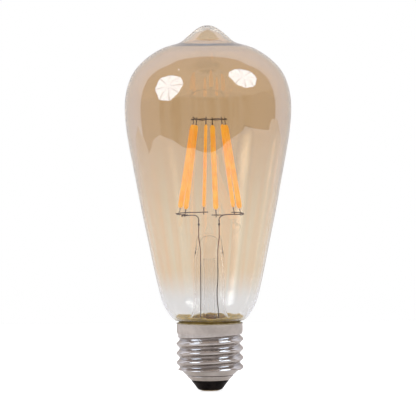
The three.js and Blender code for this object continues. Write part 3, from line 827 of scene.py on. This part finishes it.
def makeLeads(sideName, side, kink):
    x = side * lead["highX"]
    endX, endY, _ = onCircle(cage["arcRadius"], 0, lead["endAngles"][sideName])
    places = [(x, 0, lead["weldZ"]), (x + 0.05 * side, 0, lead["bendZ"] - 1.3), (x, 0, lead["bendZ"] - 0.4)]
    for share, sag in ((0.16, -0.25), (0.3, 0), (0.7, 0.03), (1, 0)):  # along to the arc that it feeds
        places.append((x + share * (endX - x), endY * share, lead["endZ"] + sag))
    parts = [bendWire(f"innerLead_{sideName}", places, lead["innerWire"], 6)]
    parts.append(makeBead(places[0], 0.42, 1.3))
    parts.append(makeBead((x, 0, lead["weldZ"] + 1.4), 0.31, 1.2))
    parts.append(makeBead(places[-1], 0.34, 0.9))
    piece = joinPieces(f"innerLead_{sideName}", parts)
    finishPiece(piece, nickelWire, "nickel_wire", f"inner_lead_{sideName}")

    lowX = side * lead["lowX"]
    places = [(lowX, 0, lead["sealFootZ"]), (lowX, 0, 53), (side * 3.6, 0, 57), (x, 0, 60.5),
              (x, 0, lead["weldZ"] - 0.55)]
    piece = bendWire(f"sealWire_{sideName}", places, lead["sealWire"], 6)
    finishPiece(piece, copperSeal, "copper", f"seal_wire_{sideName}")

    boardX = side * lead["boardX"]
    places = [(boardX, 0, lead["boardZ"]), (boardX, 0, 22), (lowX + side * 0.1, 0, 30),
              (lowX - side * kink, 0, 37), (lowX, 0, 45), (lowX, 0, lead["sealFootZ"] - 0.15)]
    piece = bendWire(f"outerLead_{sideName}", places, lead["outerWire"], 6)
    finishPiece(piece, nickelWire, "nickel_wire", f"outer_lead_{sideName}")


makeRing("topRing", "top_ring", cage["ringRadius"], cage["ringZ"], (295, 643), 16, range(6), 0.16, 1.0)
makeRing("lowerArc_left", "lower_arc_left", cage["arcRadius"], cage["arcZ"], (183, 319), 8, (3, 4, 5), 0.07)
makeRing("lowerArc_right", "lower_arc_right", cage["arcRadius"], cage["arcZ"], (3, 139), 8, (0, 1, 2), 0.06)
makeLeads("left", -1, 0)
makeLeads("right", 1, lead["rightKink"])
print("wires made")


# filaments

filament = {
    "width": 1.9,
    "depth": 1.2,
    "facing": (0, 0, 50, 90, 0, 25),
    "cuts": 26,
    "endRound": 1.3,
    "slot": (1.1, 0.7),
    "mouth": (0.58, 0.28),
    "strip": (0.8, 0.25),
    "dies": 24,
    "tab": (0.5, 0.2),
    "tabInside": 1.6,
    "tabOutside": 3.05,
    "pale": (1.0, 0.53, 0.04),
    "deep": (0.98, 0.41, 0.01),
    # the coat's fixed glow, painted light
    "glow": 0.86,
}


def makePhosphor():
    # silicone full of phosphor, orange; its fixed glow is painted light, partly standing in for the orange
    # that real phosphor gives back under light
    material, tree, shader = startMaterial("phosphor", Roughness=0.55, Emission_Strength=filament["glow"])
    specks = placeGroup(tree, grain, Scale=2600, Speck_Scale=1800, Speck_Amount=0.25)
    clouds = placeGroup(tree, mottle, Scale=260, Fine_Scale=3000)
    tone = mixColours(tree, rangeNode(tree, clouds["Cloud"], 0.35, 0.65), filament["pale"],
                      filament["deep"])
    spotted = mixColours(tree, specks["Specks"], tone, filament["deep"])
    link(spotted, shader.inputs["Emission Color"])
    dress(tree, shader, spotted, clouds["Fine"], (0.4, 0.65), specks["Height"], 0.3, 0.05)
    return material


def makeCeramic():
    material, tree, shader = startMaterial("ceramic")
    specks = placeGroup(tree, grain, Scale=5000, Speck_Scale=3000, Speck_Amount=0.2)
    tone = mixColours(tree, specks["Specks"], (0.80, 0.78, 0.72), (0.55, 0.50, 0.42))
    dress(tree, shader, tone, specks["Height"], (0.35, 0.6), specks["Height"], 0.2, 0.02)
    return material


phosphor = makePhosphor()
ceramic = makeCeramic()


def makeBar(name, width, depth, length, cuts=0):
    # a long bar round the origin, cut across into short lengths
    clearSelection()
    bpy.ops.mesh.primitive_cube_add(size=1)
    bar = bpy.context.object
    bar.name = name
    bar.scale = (width * mm, depth * mm, length * mm)
    bpy.ops.object.transform_apply(location=False, rotation=False, scale=True)
    for i in range(cuts):
        height = (-0.5 + (i + 1) / (cuts + 1)) * length * mm
        bpy.ops.object.mode_set(mode="EDIT")
        bpy.ops.mesh.select_all(action="SELECT")
        bpy.ops.mesh.bisect(plane_co=(0, 0, height), plane_no=(0, 0, 1))
        bpy.ops.object.mode_set(mode="OBJECT")
    return bar


def modelCoat():
    # an oval bar with round ends and a slot through it for the strip
    half = cage["length"] / 2
    clearSelection()
    bpy.ops.mesh.primitive_cylinder_add(vertices=24, radius=1 * mm, depth=cage["length"] * mm)
    coat = bpy.context.object
    bpy.ops.object.mode_set(mode="EDIT")
    bpy.ops.mesh.select_all(action="SELECT")
    straight = half - filament["endRound"]
    endSteps = [straight + filament["endRound"] * math.cos(math.radians(a)) for a in (10, 25, 40, 55, 70,
                                                                                      90)]
    middleSteps = [-straight + 2 * straight * i / filament["cuts"] for i in range(1, filament["cuts"])]
    for height in endSteps + [-h for h in endSteps] + middleSteps:
        bpy.ops.mesh.select_all(action="SELECT")
        bpy.ops.mesh.bisect(plane_co=(0, 0, height * mm), plane_no=(0, 0, 1))
    bpy.ops.object.mode_set(mode="OBJECT")
    for vertex in coat.data.vertices:
        x, y, z = vertex.co / mm
        beyond = max(abs(z) - straight, 0) / filament["endRound"]
        size = max(1 - beyond ** 2.4, 0.16) ** 0.5
        size *= 1 + 0.035 * noise.noise(Vector((x * 0.6, y * 0.6, z * 0.9)))
        vertex.co.x = x * size * filament["width"] / 2 * mm
        vertex.co.y = y * size * filament["depth"] / 2 * mm
    cutter = makeBar("cutter", *filament["mouth"], cage["length"] + 2)
    middle = makeBar("cutterMiddle", *filament["slot"], cage["length"] - 2 * filament["tabInside"])
    for tool in (cutter, middle):
        useModifier(coat, "BOOLEAN", object=tool, operation="DIFFERENCE", solver="EXACT")
        bpy.data.objects.remove(tool)
    return coat


def modelStrip():
    # the ceramic strip and its row of dies
    width, depth = filament["strip"]
    length = cage["length"] - 2 * filament["tabInside"] - 0.3
    parts = [makeBar("strip", width, depth, length)]
    useModifier(parts[0], "BEVEL", width=0.03 * mm, segments=2)
    pitch = length / filament["dies"]
    for i in range(filament["dies"]):
        middle = -length / 2 + pitch * (i + 0.5)
        die = makeBar("die", 0.42, 0.09, pitch * 0.5)
        die.location = (0, -(depth / 2 + 0.04) * mm, middle * mm)
        useModifier(die, "BEVEL", width=0.015 * mm, segments=1)
        parts.append(die)
    return joinPieces("strip", parts)


def modelTab(end):
    # a stamped tab with a dimple where it was crimped to the strip, narrower beyond the coat
    width, depth = filament["tab"]
    length = filament["tabInside"] + filament["tabOutside"]
    tab = makeBar("tab", width, depth, length, 11)
    for vertex in tab.data.vertices:
        out = end * vertex.co.z / mm + length / 2 - filament["tabInside"]
        vertex.co.x *= 1 - 0.28 * ease(0.1, 0.7, out)
        vertex.co.y += 0.04 * mm * math.sin(2.2 * out)
    useModifier(tab, "BEVEL", width=0.05 * mm, segments=2)
    tab.location.z = end * (cage["length"] / 2 + (filament["tabOutside"] - filament["tabInside"]) / 2) * mm
    return tab


def placeOnCage(piece, name, i, twist):
    # a copy with its own mesh, stood in its place round the cage
    copy = piece.copy()
    copy.data = piece.data.copy()
    copy.name = copy.data.name = name
    bpy.context.scene.collection.objects.link(copy)
    angle = math.radians(filamentAngle(i))
    middle = Vector((0, -(cage["topRadius"] + cage["footRadius"]) / 2,
                     (cage["topZ"] + cage["footZ"]) / 2)) * mm
    onAxis = Matrix.Translation((cage["shiftX"] * mm, 0, 0)) @ Matrix.Rotation(angle, 4, "Z")
    leaning = Matrix.Translation(middle) @ Matrix.Rotation(-cage["lean"], 4, "X")
    copy.matrix_world = onAxis @ leaning @ Matrix.Rotation(twist, 4, "Z") @ piece.matrix_basis
    settle(copy, 45)
    return copy


def makeFilaments():
    masters = {"coat": modelCoat(), "strip": modelStrip(), "tab_top": modelTab(1), "tab_foot": modelTab(-1)}
    looks = {
        "coat": (phosphor, "phosphor"),
        "strip": (ceramic, "ceramic"),
        "tab_top": (tabSteel, "tab_steel"),
        "tab_foot": (tabSteel, "tab_steel"),
    }
    for i in range(cage["count"]):
        turned = math.radians(filament["facing"][i] - filamentAngle(i))
        for part, master in masters.items():
            twist = turned if part in ("coat", "strip") else 0
            piece = placeOnCage(master, f"{part}_{i + 1}", i, twist)
            finishPiece(piece, *looks[part], f"filament_{part}_{i + 1}")
    for master in masters.values():
        bpy.data.objects.remove(master)


makeFilaments()
print("filaments made")


# driver, inside the cap

def makeBoard(name, mask, track):
    material, tree, shader = startMaterial(name)
    tracks = addNode(tree, "ShaderNodeTexBrick", Scale=420.0)
    link(surfacePlace(tree)[0], tracks.inputs["Vector"])
    weave = placeGroup(tree, mottle, Scale=900, Fine_Scale=6000)
    tone = mixColours(tree, tracks.outputs["Fac"], mask, track)
    woven = mixColours(tree, rangeNode(tree, weave["Cloud"], 0.4, 0.9), tone, mask)
    dress(tree, shader, woven, weave["Fine"], (0.3, 0.5), tracks.outputs["Fac"], 0.3, 0.03)
    return material


def makeMoulded(name, base, fleck, roughest, scale=3000):
    material, tree, shader = startMaterial(name)
    specks = placeGroup(tree, grain, Scale=scale, Speck_Scale=scale * 0.6, Speck_Amount=0.4)
    tone = mixColours(tree, specks["Specks"], base, fleck)
    dress(tree, shader, tone, specks["Height"], (roughest * 0.6, roughest), specks["Height"], 0.3, 0.04)
    return material


def makeBanded(name, base, bands):
    # a body with painted rings: each band is (low, high, colour) up the lamp, in millimetres
    material, tree, shader = startMaterial(name)
    height = surfacePlace(tree)[1]["Z"]
    specks = placeGroup(tree, grain, Scale=2500, Speck_Scale=1500, Speck_Amount=0.25)
    tone = mixColours(tree, specks["Specks"], base, tuple(0.6 * c for c in base))
    for low, high, colour in bands:
        above = rangeNode(tree, height, (low - 0.05) * mm, (low + 0.05) * mm)
        below = rangeNode(tree, height, (high - 0.05) * mm, (high + 0.05) * mm, 1.0, 0.0)
        tone = mixColours(tree, mathNode(tree, "MULTIPLY", above, below), tone, colour)
    dress(tree, shader, tone, specks["Height"], (0.3, 0.5), specks["Height"], 0.2, 0.03)
    return material


driver = {
    "hangZ": 17.45,
    "capacitor": (5.2, 3.5),
    "inductor": (-5.2, 3),
    "varistor": (4.5, -3.6),
    "rectifier": ((4.6, 3.8, 1.5), (-4.4, -3.4, 16.7)),
    "chip": ((4.9, 3.9, 1.5), (0, -5.6, 19.5)),
}


def shiftPiece(piece, x, y, z=0):
    piece.location = (x * mm, y * mm, z * mm)
    pick(piece)
    bpy.ops.object.transform_apply(location=True, rotation=True, scale=True)
    return piece


def makeCapacitor():
    sleeve = makeBanded("capacitorSleeve", (0.02, 0.035, 0.08), [(9, 10.35, (0.5, 0.5, 0.52))])
    top = driver["hangZ"]
    outline = [(0, 10.25), (2.2, 10.25), (2.35, 10.0), (2.9, 10.05), (3.13, 10.4), (3.14, 13),
               (3.14, top - 1.75), (2.88, top - 1.35), (3.13, top - 0.95), (3.12, top - 0.2), (2.9,
                                                                                               top - 0.02),
               (0, top)]
    piece = shiftPiece(turnOutline("capacitorCan", outline, 64, 4, smoothAngle=40), *driver["capacitor"])
    finishPiece(piece, sleeve, "capacitor_sleeve", "smoothing_capacitor")


def makeInductor():
    core = makeBanded("ferriteCore", (0.045, 0.045, 0.045), [(11.7, 16.55, (0.42, 0.20, 0.08))])
    top, turns = driver["hangZ"], 14
    outline = [(0, 10.8), (2.5, 10.8), (2.6, 10.95), (2.6, 11.5), (2.5, 11.62)]
    for i in range(turns):  # the winding, one bulge for each turn of wire
        low = 11.7 + (top - 12.6) * i / turns
        outline += [(1.92, low), (2.05, low + (top - 12.6) * 0.5 / turns)]
    outline += [(1.92, top - 0.9), (2.5, top - 0.8), (2.6, top - 0.68), (2.6, top - 0.12), (2.5, top),
                (0, top)]
    piece = shiftPiece(turnOutline("chokeCoil", outline, 48, 3), *driver["inductor"])
    finishPiece(piece, core, "ferrite", "inductor")


fuse = {
    "red": (0.35, 0.02, 0.02),
    "black": (0.02, 0.02, 0.02),
    "gold": (0.5, 0.33, 0.04),
    "lacquer": (0.16, 0.27, 0.32),
    "tinned": (0.45, 0.45, 0.46),
    "outline": [(0, 10.2), (0.7, 10.25), (1.2, 10.6), (1.25, 11.2), (1.12, 11.9), (1.12, 13.3), (1.25, 14),
                (1.2, 14.6), (0.7, 14.95), (0, 15)],
    "wire": 0.25,
    "footX": 1.7,
}


def makeFuse():
    bands = [(11.1, 11.5, fuse["red"]), (12.1, 12.5, fuse["black"]), (13.0, 13.4, fuse["gold"]),
             (5, 10.15, fuse["tinned"]), (15.05, 18, fuse["tinned"])]
    body = turnOutline("fuseBody", fuse["outline"], 40, 4)
    x = fuse["footX"]
    tail = bendWire("fuseTail", [(0, 0, 12), (0, 0, 9.6), (x * 0.7, 0, 8.5), (x, 0, 7.2), (x, 0, 3)],
                    fuse["wire"], 6)
    upper = bendWire("fuseUpper", [(0, 0, 14), (0, 0, 16), (0, 0, driver["hangZ"])], fuse["wire"], 4)
    piece = joinPieces("fuseResistor", [body, tail, upper])
    finishPiece(piece, makeBanded("resistorLacquer", fuse["lacquer"], bands), "resistor_body",
                "fuse_resistor")


def makeVaristor():
    # a disc dipped in epoxy, standing on its edge under the board
    clearSelection()
    bpy.ops.mesh.primitive_cylinder_add(vertices=48, radius=3 * mm, depth=2.2 * mm,
                                        rotation=(math.pi / 2, 0, 0))
    disc = bpy.context.object
    disc.name = "varistorDisc"
    useModifier(disc, "BEVEL", width=0.85 * mm, segments=6, limit_method="ANGLE")
    x, y = driver["varistor"]
    piece = shiftPiece(disc, x, y, driver["hangZ"] - 3)
    settle(piece, 50)
    epoxy = makeMoulded("varistorEpoxy", (0.03, 0.11, 0.35), (0.015, 0.06, 0.2), 0.35, 1200)
    finishPiece(piece, epoxy, "varistor_blue", "varistor")


def makePackage(name, size, place, pinSide, replaced):
    # a moulded chip body with a draft on its sides and stamped legs along two edges
    width, depth, height = size
    body = makeBar(name, width * 0.8, depth, height, 1)
    for vertex in body.data.vertices:
        if abs(vertex.co.z) > 0.1 * mm:
            vertex.co.x *= 0.95
            vertex.co.y *= 0.95
    useModifier(body, "BEVEL", width=0.12 * mm, segments=3)
    parts = [body]
    for side in (-1, 1):
        for i in range(4):
            leg = makeBar("leg", width * 0.12, 0.35, 0.18)
            leg.location = (side * width * 0.43 * mm, (-1.5 + i) * depth / 4.4 * mm,
                            pinSide * (height / 2 - 0.1) * mm)
            parts.append(leg)
    piece = joinPieces(name, parts)
    shiftPiece(piece, *place)
    settle(piece, 40)
    finishPiece(piece, chipBlack, "chip_black", replaced)


chipBlack = makeMoulded("chipBlack", (0.015, 0.015, 0.016), (0.035, 0.035, 0.035), 0.6)
circuitBoard = makeBoard("circuitBoard", (0.02, 0.13, 0.05), (0.30, 0.26, 0.10))
radioBoard = makeBoard("radioBoard", (0.012, 0.03, 0.09), (0.10, 0.16, 0.30))
makeCapacitor()
makeInductor()
makeFuse()
makeVaristor()
makePackage("rectifierBody", *driver["rectifier"], 1, "bridge_rectifier")
makePackage("driverChip", *driver["chip"], -1, "driver_chip")

carriedLooks = {
    "driver_board": circuitBoard,
    "radio_board": radioBoard,
    "radio_chip": chipBlack,
    "antenna_loop": makeMetal("aerialCopper", (0.62, 0.30, 0.18), (0.36, 0.15, 0.09), (0.25, 0.45)),
    "neutral_wire": solderTin,
    "neutral_solder": solderTin,
}
for name, look in carriedLooks.items():
    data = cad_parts[name].data
    data.materials.clear()
    data.materials.append(look)
print("driver made")


# studio

studio = {
    # corners of the white paper, round from the front left: it ends close in front and spreads out behind
    "floorCorners": [(-0.40, -0.14), (-0.25, -0.207), (-0.10, -0.262), (0.18, -0.268), (0.41, -0.32),
                     (0.50, -0.17), (0.58, 0.036), (0.96, 0.15), (0.96, 0.36), (-0.77, 0.36), (-0.372,
                                                                                               0.04)],
    "floorDrop": 0.3 * mm,
    "floorGlow": 0.2,
    "floorTint": (1.15, 0.92, 0.65),
    "floorOverexposure": 0.6,
    "paper": (0.72, 0.72, 0.73),
    "fibre": (0.66, 0.66, 0.67),
    "throughGlass": 0.78,
    "bentAside": 0.5,
}


def metOnly(tree, path, kind, other):
    # 1 for light that met the first kind of surface and not the second
    return mathNode(tree, "MULTIPLY", mathNode(tree, "GREATER_THAN", path[kind], 0.5),
                    mathNode(tree, "LESS_THAN", path[other], 0.5))


def makeFloor():
    corners = studio["floorCorners"]
    clearSelection()
    bpy.ops.mesh.primitive_circle_add(vertices=len(corners), radius=1, fill_type="NGON", location=(0, 0, 0))
    floor = bpy.context.object
    floor.name = "paperFloor"
    for vertex, (x, y) in zip(floor.data.vertices, corners):
        vertex.co = (x, y, -studio["floorDrop"])
    bpy.ops.object.mode_set(mode="EDIT")
    bpy.ops.mesh.select_all(action="SELECT")
    bpy.ops.mesh.quads_convert_to_tris()
    bpy.ops.mesh.normals_make_consistent(inside=False)
    bpy.ops.object.mode_set(mode="OBJECT")
    material, tree, shader = startMaterial("whitePaper", Roughness=0.9)
    fibres = placeGroup(tree, grain, Scale=900, Speck_Scale=400, Speck_Amount=0.03)
    link(mixColours(tree, fibres["Specks"], studio["paper"], studio["fibre"]), shader.inputs["Base Color"])
    # overexposed to the eye, and pale grey in what the lamp mirrors
    path = tree.nodes.new("ShaderNodeLightPath").outputs
    toEye = path["Is Camera Ray"]
    link(mixColours(tree, toEye, studio["floorTint"], (1, 1, 1)), shader.inputs["Emission Color"])
    glow = mathNode(tree, "MULTIPLY_ADD", toEye, studio["floorOverexposure"], studio["floorGlow"])
    link(glow, shader.inputs["Emission Strength"])
    # seen straight through the glass it is as bright as the backdrop, so it shows no far edge
    behindGlass = metOnly(tree, path, "Transmission Depth", "Glossy Depth")
    mixShaders(tree, behindGlass, shader,
               addNode(tree, "ShaderNodeEmission", Strength=studio["throughGlass"]))
    floor.data.materials.append(material)


umbrella = {
    "aim": (0, 0, 0.12),
    "distance": 1.05,
    "panels": 8,
    "strength": 3.6,
    "mirrorStrength": 0.98,
    "throughStrength": 1.5,
    "ribDepth": 0.5,
    "ribWidth": 0.12,
    "colour": (1.0, 0.97, 1.0),
    "mirroredColour": (0.83, 1.0, 1.24),
    # direction from the lamp, and radius
    "umbrellaLeft": ((-0.785, -0.41, 0.475), 0.395),
    "umbrellaRight": ((0.668, -0.30, 0.685), 0.37),
    "pilotLamp": ((-0.484, -0.106, 0.869), 0.02),
}


def makeUmbrella(name):
    direction, radius = umbrella[name]
    away = Vector(direction).normalized()
    clearSelection()
    bpy.ops.mesh.primitive_circle_add(vertices=umbrella["panels"], radius=radius, fill_type="TRIFAN",
                                      location=Vector(umbrella["aim"]) + away * umbrella["distance"])
    lamp = bpy.context.object
    lamp.name = name
    lamp.rotation_euler = away.to_track_quat("Z", "Y").to_euler()
    lamp.rotation_euler.rotate_axis("Z", math.pi / umbrella["panels"])
    material = bpy.data.materials.new(name)
    material.use_nodes = True
    tree = material.node_tree
    tree.nodes.remove(tree.nodes["Principled BSDF"])
    glow = tree.nodes.new("ShaderNodeEmission")
    split = surfacePlace(tree)[1]
    turn = mathNode(tree, "ARCTAN2", split["Y"], split["X"])
    nearRib = mathNode(tree, "PINGPONG", mathNode(tree, "MULTIPLY", turn, umbrella["panels"] / math.tau),
                       0.5)
    ribs = rangeNode(tree, nearRib, 0.0, umbrella["ribWidth"], 1 - umbrella["ribDepth"], 1.0)
    # in the far wall of the glass it is a soft streak
    sides = rangeNode(tree, mathNode(tree, "ABSOLUTE", split["X"]), 0.0, 0.8 * radius, 1.0, 0.0)
    rise = rangeNode(tree, split["Y"], -0.8 * radius, -0.45 * radius)
    soft = mathNode(tree, "MULTIPLY", mathNode(tree, "MULTIPLY", sides, rise), umbrella["throughStrength"])
    path = tree.nodes.new("ShaderNodeLightPath").outputs
    throughBulb = mathNode(tree, "GREATER_THAN", path["Transmission Depth"], 2.5)
    inMirror = mathNode(tree, "GREATER_THAN", path["Glossy Depth"], 0.5)
    plain = rangeNode(tree, inMirror, 0, 1, ribs,
                      mathNode(tree, "MULTIPLY", ribs, umbrella["mirrorStrength"]))
    level = rangeNode(tree, throughBulb, 0, 1, plain, soft)
    link(mixColours(tree, inMirror, umbrella["colour"], umbrella["mirroredColour"]), glow.inputs["Color"])
    link(mathNode(tree, "MULTIPLY", level, umbrella["strength"]), glow.inputs["Strength"])
    link(glow.outputs[0], tree.nodes["Material Output"].inputs["Surface"])
    lamp.data.materials.append(material)
    lamp.visible_camera = False
    lamp.visible_shadow = False


room = {
    # levels and colours of what the lamp's surfaces mirror
    "sweepLevels": (1.12, 0.6),
    "sideGain": (1.03, 0.95),
    "ceiling": 0.42,
    "wall": 0.07,
    "leftWall": 0.45,
    "rightWall": 0.25,
    "sweepColour": (0.95, 1.0, 1.15),
    "edgeColour": (1.03, 0.96, 0.95),
    "colour": (1.1, 1.0, 1.0),
    # how far back, right or up a direction leads, where one thing turns into the next
    "sweepStart": (0.27, 0.32),
    "sweepSpan": (0.36, 0.98),
    "edgeSpan": (0.6, 0.95),
    "bentSpan": (0.6, 0.97),
    "rightWallStart": (0.7, 0.95),
    "ceilingStart": (0.24, 0.30),
    "cornerDirection": (-0.32, 0.948),
    "furnitureStretch": (5, 5, 0.6),
}


def makeWorld():
    # white to the eye and through the glass; surfaces mirror a white sweep behind and a dim room in front
    world = bpy.data.worlds.new("studioRoom")
    bpy.context.scene.world = world
    world.use_nodes = True
    tree = world.node_tree
    background = tree.nodes["Background"]
    place, split = surfacePlace(tree, "Generated")
    isSweep = rangeNode(tree, split["Y"], *room["sweepStart"])
    sweep = rangeNode(tree, split["Y"], *room["sweepSpan"], *room["sweepLevels"])
    sideGain = rangeNode(tree, split["X"], -0.9, 0.9, *room["sideGain"])
    stretched = addNode(tree, "ShaderNodeMapping", Scale=room["furnitureStretch"])
    link(place, stretched.inputs["Vector"])
    furniture = noiseNode(tree, stretched.outputs[0], 1.0, 2.0)
    shades = rangeNode(tree, furniture, 0.38, 0.62, 0.0, 3.5 * room["wall"])
    toRight = rangeNode(tree, split["X"], *room["rightWallStart"], shades, room["rightWall"])
    # the left wall starts where the room's corner is, seen from the lamp
    cornerX, cornerY = room["cornerDirection"]
    corner = mathNode(tree, "MULTIPLY_ADD", split["X"], cornerX,
                      mathNode(tree, "MULTIPLY", split["Y"], cornerY))
    walls = rangeNode(tree, corner, -0.01, 0.01, toRight, room["leftWall"])
    front = rangeNode(tree, split["Z"], *room["ceilingStart"], walls, room["ceiling"])
    # only what the outside of a surface mirrors; reflections inside the glass stay pale
    path = tree.nodes.new("ShaderNodeLightPath").outputs
    mirrored = metOnly(tree, path, "Glossy Depth", "Transmission Depth")
    bent = rangeNode(tree, split["Y"], *room["bentSpan"], studio["bentAside"], studio["throughGlass"])
    straight = rangeNode(tree, path["Is Camera Ray"], 0, 1, bent, 1.0)
    seen = mixLevels(tree, mirrored, straight, mixLevels(tree, isSweep, front, sweep))
    gain = rangeNode(tree, mirrored, 0, 1, 1.0, sideGain)
    link(mathNode(tree, "MULTIPLY", seen, gain), background.inputs["Strength"])
    atEdge = rangeNode(tree, split["Y"], *room["edgeSpan"])
    pale = mixColours(tree, atEdge, room["sweepColour"], room["edgeColour"])
    zone = mixColours(tree, isSweep, room["colour"], pale)
    link(mixColours(tree, mirrored, (1, 1, 1), zone), background.inputs["Color"])


view = {
    "place": (0, -1.5, 0.135),
    "target": (-0.0003, 0, 0.0709),
    "roll": -0.45,
    "lens": 335,
}


def makeCamera():
    data = bpy.data.cameras.new("longLens")
    data.lens = view["lens"]
    data.sensor_width = 36
    data.clip_start, data.clip_end = 0.1, 10
    camera = bpy.data.objects.new("longLens", data)
    bpy.context.scene.collection.objects.link(camera)
    place = Vector(view["place"])
    turn = (Vector(view["target"]) - place).to_track_quat("-Z", "Y").to_matrix().to_4x4()
    roll = Matrix.Rotation(math.radians(view["roll"]), 4, "Z")
    camera.matrix_world = Matrix.Translation(place) @ turn @ roll
    bpy.context.scene.camera = camera


makeFloor()
for lampName in ("umbrellaLeft", "umbrellaRight", "pilotLamp"):
    makeUmbrella(lampName)
makeWorld()
makeCamera()
scene = bpy.context.scene
scene.view_settings.view_transform = "Standard"
scene.cycles.max_bounces = 24
scene.cycles.transmission_bounces = 20
scene.cycles.glossy_bounces = 8
scene.cycles.transparent_max_bounces = 24
scene.cycles.caustics_refractive = False
scene.cycles.caustics_reflective = False
print("studio made")
